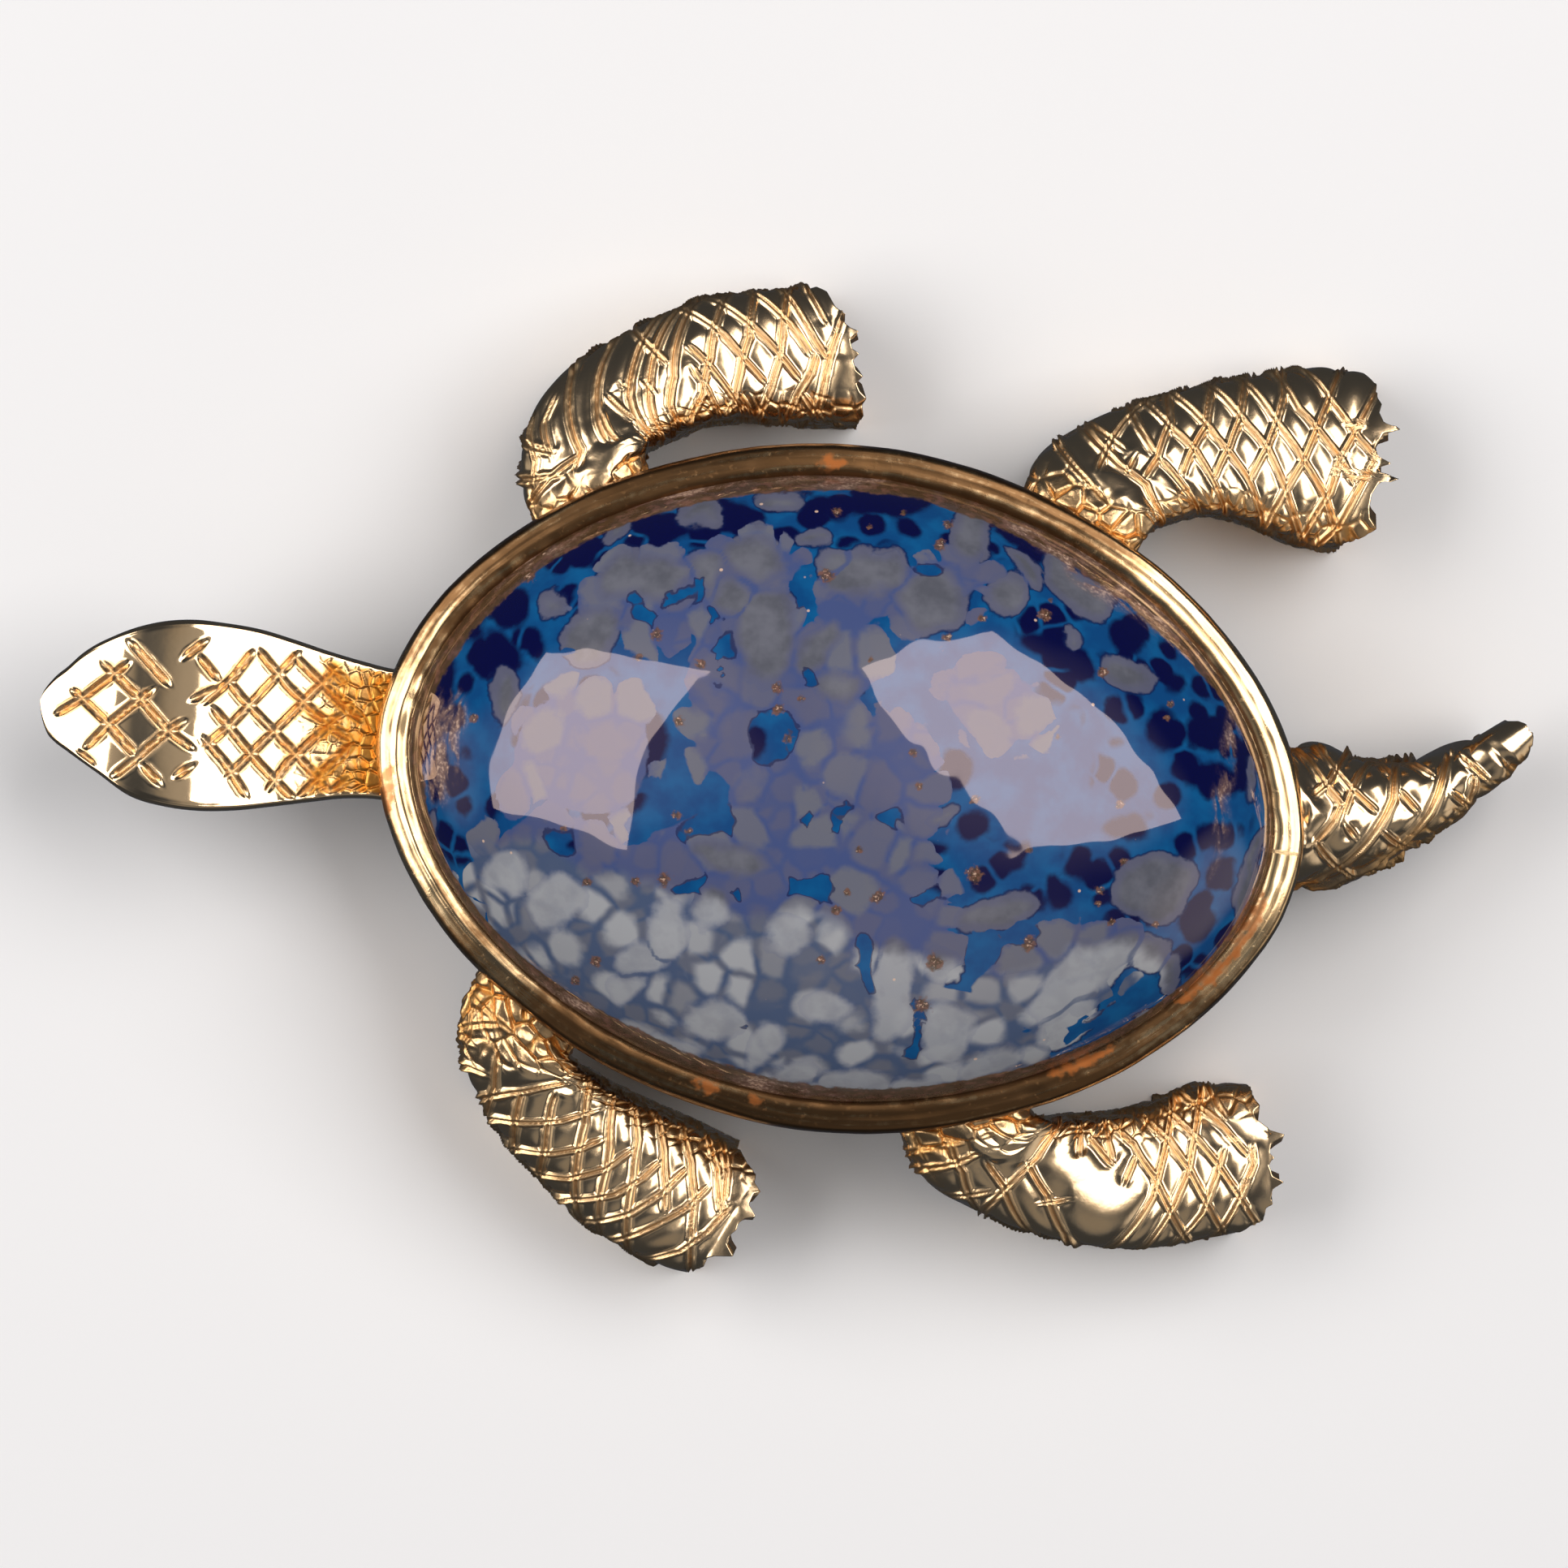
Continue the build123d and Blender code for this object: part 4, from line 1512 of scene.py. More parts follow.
MOTTLING = Mottling(
    chips=(
        Blot(795, 714, 64, 30, 14), Blot(772, 656, 12, 24, -20), Blot(863, 633, 23, 13), Blot(964, 620, 29, 14),
        Blot(966, 592, 32, 7), Blot(1010, 670, 20, 11, 10), Blot(926, 656, 8, 8), Blot(868, 706, 20, 34, 15),
        Blot(925, 690, 44, 26, -8), Blot(945, 785, 42, 58), Blot(905, 740, 30, 26), Blot(687, 748, 16, 12, 20),
        Blot(624, 864, 16, 35, -8), Blot(730, 785, 40, 34, 20), Blot(1065, 712, 58, 30, 8), Blot(1030, 705, 26, 24),
        Blot(1145, 745, 46, 42, 20), Blot(1012, 800, 20, 44, -30), Blot(1040, 845, 30, 24),
        Blot(1196, 665, 24, 46, -6), Blot(1235, 742, 28, 26), Blot(1257, 708, 30, 13, -50),
        Blot(1325, 728, 60, 25, -42), Blot(1312, 788, 10, 17), Blot(1386, 836, 32, 22, -40),
        Blot(1160, 1000, 19, 11, 15), Blot(1412, 1088, 52, 42, 6), Blot(1222, 1124, 48, 24, 8),
        Blot(1160, 1188, 22, 23), Blot(1330, 1198, 84, 34, 33), Blot(1407, 1172, 24, 26),
        Blot(1437, 1196, 14, 30, 12), Blot(1306, 1258, 46, 26, 28), Blot(1160, 1268, 33, 36),
        Blot(1095, 1215, 28, 60, -8), Blot(1052, 1327, 44, 18), Blot(1128, 1336, 34, 17),
        Blot(1218, 1306, 44, 19, 14), Blot(687, 1106, 40, 33, 10), Blot(626, 1075, 28, 26),
        Blot(624, 1172, 32, 13, -20), Blot(789, 1176, 34, 23, -14), Blot(820, 1140, 29, 40, -12),
        Blot(772, 1212, 23, 16), Blot(968, 1148, 26, 27), Blot(1016, 1235, 31, 21), Blot(938, 1290, 20, 32, -20),
        Blot(905, 1058, 48, 22, -12), Blot(880, 1250, 38, 26), Blot(830, 1285, 34, 16, -20),
        Blot(985, 1320, 30, 14), Blot(880, 1120, 22, 26), Blot(1060, 1175, 24, 20), Blot(530, 1030, 8, 34, -18),
        Blot(1516, 870, 100, 8, -67), Blot(1537, 1080, 64, 10, 73), Blot(1537, 965, 5, 24),
        Blot(1395, 1272, 60, 8, 32), Blot(1478, 1208, 16, 9, 45),
    ),
    islands=(
        Blot(800, 759, 14, 9), Blot(843, 732, 20, 12, 20), Blot(893, 812, 6, 30, -6), Blot(876, 762, 4, 12),
        Blot(989, 733, 5, 20, -25), Blot(1005, 840, 8, 9), Blot(826, 985, 24, 20, -40), Blot(880, 1018, 30, 17, 25),
        Blot(989, 1001, 6, 18), Blot(1031, 1017, 6, 24, -20), Blot(1000, 1090, 27, 12, -10), Blot(858, 1090, 17, 9),
        Blot(908, 1101, 8, 5), Blot(690, 1033, 20, 13), Blot(950, 905, 30, 33), Blot(1060, 1185, 13, 30, 12),
        Blot(1124, 1262, 9, 36, -6), Blot(1207, 1165, 30, 20, 40), Blot(1350, 1250, 44, 11, 30),
        Blot(1255, 1150, 24, 12), Blot(1030, 1010, 5, 14), Blot(1100, 1000, 14, 12), Blot(790, 745, 10, 5),
        Blot(1140, 1100, 18, 7), Blot(700, 800, 12, 8), Blot(1148, 708, 14, 5, -35), Blot(1340, 1290, 60, 9, 28),
        Blot(912, 1262, 8, 7),
    ),
    navy=(
        Blot(1478, 912, 27, 25), Blot(1451, 948, 13, 10), Blot(1490, 965, 38, 15), Blot(1488, 1033, 24, 17),
        Blot(1501, 1077, 21, 18), Blot(1466, 1133, 25, 27), Blot(1388, 790, 22, 14, -35), Blot(1441, 848, 14, 11),
        Blot(1425, 905, 18, 26), Blot(1172, 948, 22, 22), Blot(1199, 1017, 20, 17),
        Blot(1152, 1043, 20, 9), Blot(1294, 1098, 16, 22), Blot(1157, 1127, 28, 11), Blot(1304, 812, 52, 18, -30),
        Blot(1095, 622, 52, 20), Blot(1020, 628, 30, 14), Blot(632, 753, 23, 22), Blot(663, 790, 14, 19),
        Blot(616, 812, 26, 32), Blot(716, 675, 32, 28, 30), Blot(774, 632, 32, 18, 10), Blot(816, 650, 34, 18),
        Blot(905, 640, 34, 14), Blot(640, 700, 44, 16, 50), Blot(586, 770, 16, 44, -35), Blot(545, 870, 16, 60, -12),
        Blot(800, 917, 26, 38), Blot(932, 914, 13, 22, -20), Blot(545, 960, 12, 30), Blot(1535, 920, 12, 60, -20),
        Blot(1260, 668, 34, 14, -20), Blot(1330, 1070, 24, 14), Blot(1240, 1060, 20, 12), Blot(1375, 1020, 26, 14),
    ),
    spotted=(
        Blot(1440, 930, 110, 190), Blot(690, 700, 190, 80, 35), Blot(1000, 630, 240, 50), Blot(1440, 1120, 90, 80),
        Blot(570, 900, 70, 160), Blot(1200, 630, 180, 60, -12), Blot(1330, 800, 80, 80),
        Blot(720, 930, 90, 110), Blot(1260, 1080, 120, 50),
    ),
    crowd=(
        Blot(820, 740, 120, 60, 10), Blot(930, 850, 90, 140), Blot(1042, 815, 50, 70), Blot(1000, 960, 110, 130),
        Blot(926, 1068, 150, 80), Blot(690, 1080, 120, 80), Blot(1110, 735, 110, 45, 8), Blot(650, 960, 28, 60, -10),
        Blot(870, 1190, 270, 130, -10), Blot(1080, 1160, 100, 170), Blot(1290, 1200, 130, 60, 25),
        Blot(1090, 1000, 70, 110), Blot(1050, 1300, 260, 70), Blot(1120, 920, 30, 40), Blot(900, 700, 90, 40),
        Blot(725, 925, 90, 90, 60), Blot(1215, 865, 80, 50, -30),
    ),
    # The paler lower part of the stone, whose grey is partly painted haze of light from below.
    milk=(
        Blot(780, 1170, 190, 90, -15), Blot(1010, 1270, 300, 100), Blot(1290, 1250, 150, 70, 22),
        Blot(660, 1120, 110, 80, -20), Blot(1100, 1310, 200, 60), Blot(975, 1160, 60, 44),
    ),
    flecks=(
        (1205, 766, 8), (1165, 789, 7), (1289, 743, 5), (1111, 636, 5), (1069, 655, 5), (1295, 909, 6),
        (852, 1023, 7), (1261, 1045, 6), (1368, 992, 6), (1191, 986, 5), (1352, 831, 9), (1434, 869, 6),
        (1430, 886, 6), (1071, 817, 5), (1017, 714, 14), (1155, 676, 11), (1165, 651, 9), (957, 850, 10),
        (1148, 1181, 15), (1132, 1233, 15), (1079, 1102, 12), (1261, 1158, 13), (1194, 1075, 15), (1376, 1059, 7),
        (1347, 1094, 8), (1362, 1132, 8), (1416, 1136, 7), (1055, 1045, 7), (1010, 1177, 8), (1281, 762, 12),
        (700, 1020, 7), (821, 1081, 12), (787, 1083, 8), (728, 1084, 9), (738, 1181, 10), (712, 1205, 9),
        (958, 875, 10), (1028, 1118, 9), (1042, 1096, 7), (812, 785, 12), (791, 813, 8), (866, 822, 10),
        (970, 912, 9), (986, 864, 7), (840, 890, 10), (836, 1003, 8), (1120, 928, 8), (1195, 984, 8), (1128, 968, 7),
        (740, 640, 6), (655, 712, 12), (590, 885, 9), (1030, 635, 8), (1160, 790, 7), (1372, 990, 9), (1345, 1110, 6),
    ),
    # The pink-gold streaks along the edge, partly foil and partly a painted reflection of the bezel's rim.
    foil=(
        Blot(690, 662, 150, 14, 33), Blot(850, 606, 100, 13, 12), Blot(1386, 730, 130, 26, -38),
        Blot(552, 925, 18, 66, -6), Blot(1290, 668, 60, 14, -28), Blot(680, 1222, 80, 10, -36),
        Blot(950, 1338, 100, 9, -10), Blot(1505, 930, 6, 110, -8), Blot(1040, 590, 90, 8, -3),
    ),
)


@dataclass
class BackFittings:
    """The back: the cup's floor plate, the hinge's two ears and the rolled catch."""

    plate_low: float = 3.0
    plate_profile: tuple[tuple[float, float], ...] = (
        (0.6, 3.88), (0.5, 3.88), (0.42, 3.5), (0.42, 3.06), (0.48, 3.0), (0.56, 2.99), (3, 3.0), (6, 3.0),
    )
    pin_side: float = 2.0
    pin_z: float = 1.5
    hinge_x: float = 11.075
    catch_x: float = -7.425
    ear_radius: float = 1.1
    ear_thickness: float = 0.6
    ear_gap: float = 1.4
    rivet_hole: float = 0.45
    catch_bore: float = 0.57
    catch_wall: float = 0.45
    catch_length: float = 1.6
    neck: float = 1.2
    edge_deg: float = 35.0

    def plate(self, finish: bpy.types.Material) -> bpy.types.Object:
        """Makes the floor plate, its lower edge eased.

        Args:
            finish: the gold's material.

        Returns:
            The finished piece.
        """
        angle = np.linspace(0, 2 * np.pi, 256, endpoint=False)
        shell, rings = Shell(), []
        for inset, z in self.plate_profile:
            plan = OVAL.reach(angle, inset)
            rings.append(np.concatenate([plan, np.full((len(angle), 1), z)], axis=1))
        grid = shell.add(np.stack(rings))
        shell.skin(grid, closed=True)
        for ring in (0, -1):
            shell.close(grid[ring], [OVAL.middle_x, 0, self.plate_profile[ring][1]])
        return shell.piece("back_plate", "setting", Slot.GOLD, finish)

    def _slab(self, outline: Array, hole: Array | None, lay: Callable[[Array, float], Array],
              near: float, far: float) -> Shell:
        """Makes a flat piece from an outline, with a round hole or none, between two faces.

        Args:
            outline: the outline's (across, up), one pair a row.
            hole: the hole's points, as many as the outline's, or None.
            lay: turns the outline and a distance into points.
            near: the first face's distance.
            far: the second face's distance.

        Returns:
            The mesh in the making.
        """
        shell, bevel = Shell(), 0.06
        middle = outline.mean(axis=0)
        eased = middle + (outline - middle) * (1 - bevel / np.abs(outline - middle).max())
        loops = [(eased, near), (outline, near + bevel), (outline, far - bevel), (eased, far)]
        if hole is not None:
            loops += [(hole, far), (hole, near)]
        grid = shell.add(np.stack([lay(loop, at) for loop, at in loops]))
        if hole is None:
            shell.skin(grid, closed=True)
            shell.close(grid[0], lay(middle[None, :], near)[0])
            shell.close(grid[-1], lay(middle[None, :], far)[0])
        else:
            shell.skin(np.concatenate([grid, grid[:1]]), closed=True)
        return shell

    def ear(self, side: int, finish: bpy.types.Material) -> bpy.types.Object:
        """Makes one of the hinge's ears.

        Args:
            side: 1 for the ear on the turtle's right of the barrel, -1 for the other.
            finish: the gold's material.

        Returns:
            The finished piece.
        """
        angle = np.linspace(0, 2 * np.pi, 72, endpoint=False)
        outline = np.stack([np.cos(angle), np.sin(angle)], axis=1) * self.ear_radius
        up = outline[:, 1] > 0
        outline[up, 0] = np.sign(outline[up, 0]) * self.ear_radius
        outline[up, 1] = np.minimum(outline[up, 1] / self.ear_radius * 6, 1) * (self.plate_low - self.pin_z + 0.1)
        corner = np.abs(np.cos(angle)) < 0.9
        top = up & corner
        outline[top, 0] = self.ear_radius * np.cos(angle[top]) / 0.9
        hole = np.stack([np.cos(angle), np.sin(angle)], axis=1) * self.rivet_hole
        middle_y = self.pin_side + side * (self.ear_gap + self.ear_thickness) / 2

        def lay(loop: Array, at: float) -> Array:
            """Stands the outline up across the pin."""
            return np.stack([self.hinge_x + loop[:, 0], np.full(len(loop), at), self.pin_z + loop[:, 1]], axis=1)

        shell = self._slab(outline, hole, lay, middle_y - self.ear_thickness / 2, middle_y + self.ear_thickness / 2)
        name = f"hinge_ear_{'right' if side > 0 else 'left'}"
        return self._square_up(shell.piece(name, "setting", Slot.GOLD, finish))

    def catch(self, finish: bpy.types.Material) -> bpy.types.Object:
        """Makes the catch: a hook rolled round the stem, open to one side, on its neck.

        Args:
            finish: the gold's material.

        Returns:
            The finished piece.
        """
        turn = np.radians(np.linspace(62, 300, 48))
        outer = np.stack([np.cos(turn), np.sin(turn)], axis=1) * (self.catch_bore + self.catch_wall)
        inner = np.stack([np.cos(turn), np.sin(turn)], axis=1)[::-1] * self.catch_bore
        top = self.plate_low - self.pin_z + 0.1
        stem = np.array([[0.55, 0.75], [self.neck / 2, 0.95], [self.neck / 2, top], [-self.neck / 2, top],
                         [-self.neck / 2, 0.95], [-0.62, 0.80]])
        keep = outer[np.degrees(turn) > 128]
        outline = np.concatenate([stem, keep, inner])

        def lay(loop: Array, at: float) -> Array:
            """Stands the outline up along the pin."""
            return np.stack([np.full(len(loop), at), self.pin_side + loop[:, 0], self.pin_z + loop[:, 1]], axis=1)

        shell = Shell()
        near, far = self.catch_x - self.catch_length / 2, self.catch_x + self.catch_length / 2
        grid = shell.add(np.stack([lay(outline, near), lay(outline, far)]))
        shell.skin(grid, closed=True)
        shell.faces += [grid[:1], grid[1:, ::-1]]
        return self._square_up(shell.piece("catch", "setting", Slot.GOLD, finish))

    def _square_up(self, thing: bpy.types.Object) -> bpy.types.Object:
        """Keeps a flat piece's edges crisp, so that its faces look flat."""
        thing.data.set_sharp_from_angle(angle=math.radians(self.edge_deg))
        return thing


@dataclass(frozen=True)
class Softbox:
    """A softbox's place and shape, as the reflections in the stone give them.

    Attributes:
        name: the light's name.
        azimuth: its direction in degrees from +X.
        zenith: its middle's angle from straight up, in degrees.
        wide: its size across that direction, as a share of its distance.
        tall: its size along that direction, as a share of its distance.
        yaw: how far its end of larger azimuth is swung away, in degrees.
        roll: how far it is rolled about its own middle, in degrees.
        glow: how bright its face is.
    """

    name: str
    azimuth: float
    zenith: float
    wide: float
    tall: float
    yaw: float
    roll: float
    glow: float


@dataclass(frozen=True)
class Glow:
    """A soft glow of the room: its direction, its full core and its edge in degrees, and its brightness."""

    azimuth: float
    zenith: float
    core: float
    edge: float
    brightness: float


@dataclass
class Studio:
    """A pale floor, soft light and a camera that looks straight down as the photograph does."""

    view_x: float = 0.225
    view_y: float = -0.09
    view_mm: float = 44.83
    lens: float = 200.0
    sensor: float = 36.0
    focus_z: float = 4.5
    stone_z: float = 8.0
    box_distance: float = 0.30
    floor_reach: float = 3.0
    light_colour: tuple[float, float, float] = (1.0, 0.97, 0.96)
    dim: float = 0.05
    dim_colour: Colour = (0.78, 0.92, 1.20, 1)
    glow_colour: Colour = (1.0, 0.98, 0.97, 1)
    softboxes: tuple[Softbox, ...] = (
        Softbox("left_softbox", 175.4, 47.0, 0.99, 0.64, yaw=5, roll=-4, glow=3.0),
        Softbox("right_softbox", 41.7, 36.3, 1.02, 0.67, yaw=-21.5, roll=-1.8, glow=3.2),
    )
    glows: tuple[Glow, ...] = (
        Glow(-62, 50, 6, 32, 0.17), Glow(32, 33, 20, 38, 0.3), Glow(172, 40, 16, 36, 0.3), Glow(-18, 87, 8, 27, 0.6),
        Glow(188, 88, 6, 25, 0.4),
    )

    def floor(self) -> bpy.types.Object:
        """Lays the floor, level with the brooch's feet.

        Returns:
            The floor.
        """
        mesh = bpy.data.meshes.new("floor")
        r = self.floor_reach
        mesh.from_pydata([(-r, -r, 0), (r, -r, 0), (r, r, 0), (-r, r, 0)], [], [(0, 1, 2, 3)])
        floor = bpy.data.objects.new("floor", mesh)
        floor.location.z = -0.00002
        bpy.context.scene.collection.objects.link(floor)
        bench = Bench("pale_floor")
        grain = bench.noise(bench.place(), 14.0, 3.0)
        mesh.materials.append(bench.finish(
            Base_Color=bench.mix(grain, (0.93, 0.93, 0.93, 1), (0.95, 0.95, 0.945, 1)), Roughness=0.9,
        ))
        floor.visible_glossy = False
        return floor

    def softbox(self, box: Softbox) -> bpy.types.Object:
        """Hangs a softbox.

        Args:
            box: its place and shape.

        Returns:
            The light.
        """
        lamp = bpy.data.lights.new(box.name, "AREA")
        lamp.shape = "RECTANGLE"
        lamp.size, lamp.size_y = self.box_distance * box.tall, self.box_distance * box.wide
        lamp.energy = box.glow * math.pi * lamp.size * lamp.size_y
        lamp.color = self.light_colour
        light = bpy.data.objects.new(box.name, lamp)
        a, z = math.radians(box.azimuth), math.radians(box.zenith)
        way = Vector((math.sin(z) * math.cos(a), math.sin(z) * math.sin(a), math.cos(z)))
        down = Vector((math.cos(z) * math.cos(a), math.cos(z) * math.sin(a), -math.sin(z)))
        face = Matrix((down, way.cross(down), way)).transposed()
        swung = face @ Matrix.Rotation(math.radians(-box.yaw), 3, "X")
        turned = swung @ Matrix.Rotation(math.radians(box.roll), 3, "Z")
        middle = way * self.box_distance + Vector((PHOTO.stone_x * MM, 0, self.stone_z * MM))
        light.matrix_world = Matrix.Translation(middle) @ turned.to_4x4()
        bpy.context.scene.collection.objects.link(light)
        return light

    def camera(self) -> bpy.types.Object:
        """Sets the camera over the brooch, turned as the photograph is.

        Returns:
            The camera.
        """
        data = bpy.data.cameras.new("camera")
        data.lens, data.sensor_width = self.lens, self.sensor
        height = self.lens / self.sensor * self.view_mm + self.focus_z
        camera = bpy.data.objects.new("camera", data)
        camera.location = (self.view_x * MM, self.view_y * MM, height * MM)
        camera.rotation_euler = (0, 0, math.radians(PHOTO.turn_deg))
        data.clip_start, data.clip_end = 0.01, 10.0
        bpy.context.scene.collection.objects.link(camera)
        bpy.context.scene.camera = camera
        return camera

    def build(self) -> None:
        """Sets up the whole studio."""
        self.floor()
        for box in self.softboxes:
            self.softbox(box)
        room = Room("room")
        light, *others = [room.glow(g.azimuth, g.zenith, g.core, g.edge) * g.brightness for g in self.glows]
        for other in others:
            light = light + other
        colour = room.mix((light * 6.0).clamp(), self.dim_colour, self.glow_colour)
        for socket, reading in enumerate((colour, light + self.dim)):
            room.tree.links.new(reading.socket, room.shader.inputs[socket])
        bpy.context.scene.world = room.world
        self.camera()
        bpy.context.scene.view_settings.view_transform = "Standard"


FLIPPER_CRESTS = (5.8, 5.742, 5.51, 5.104, 4.64, 4.176, 3.77, 3.422)
FLIPPER_FEET = (3.21, 2.61, 1.5, 0.45, -0.45, -0.45, -0.45, -0.45)


def flipper_sections(rows: Sequence[tuple[float, float, float, float]]) -> list[Section]:
    """Gives a flipper's sections the fall that all four share."""
    return [Section(*row, crest, foot) for row, crest, foot in zip(rows, FLIPPER_CRESTS, FLIPPER_FEET)]


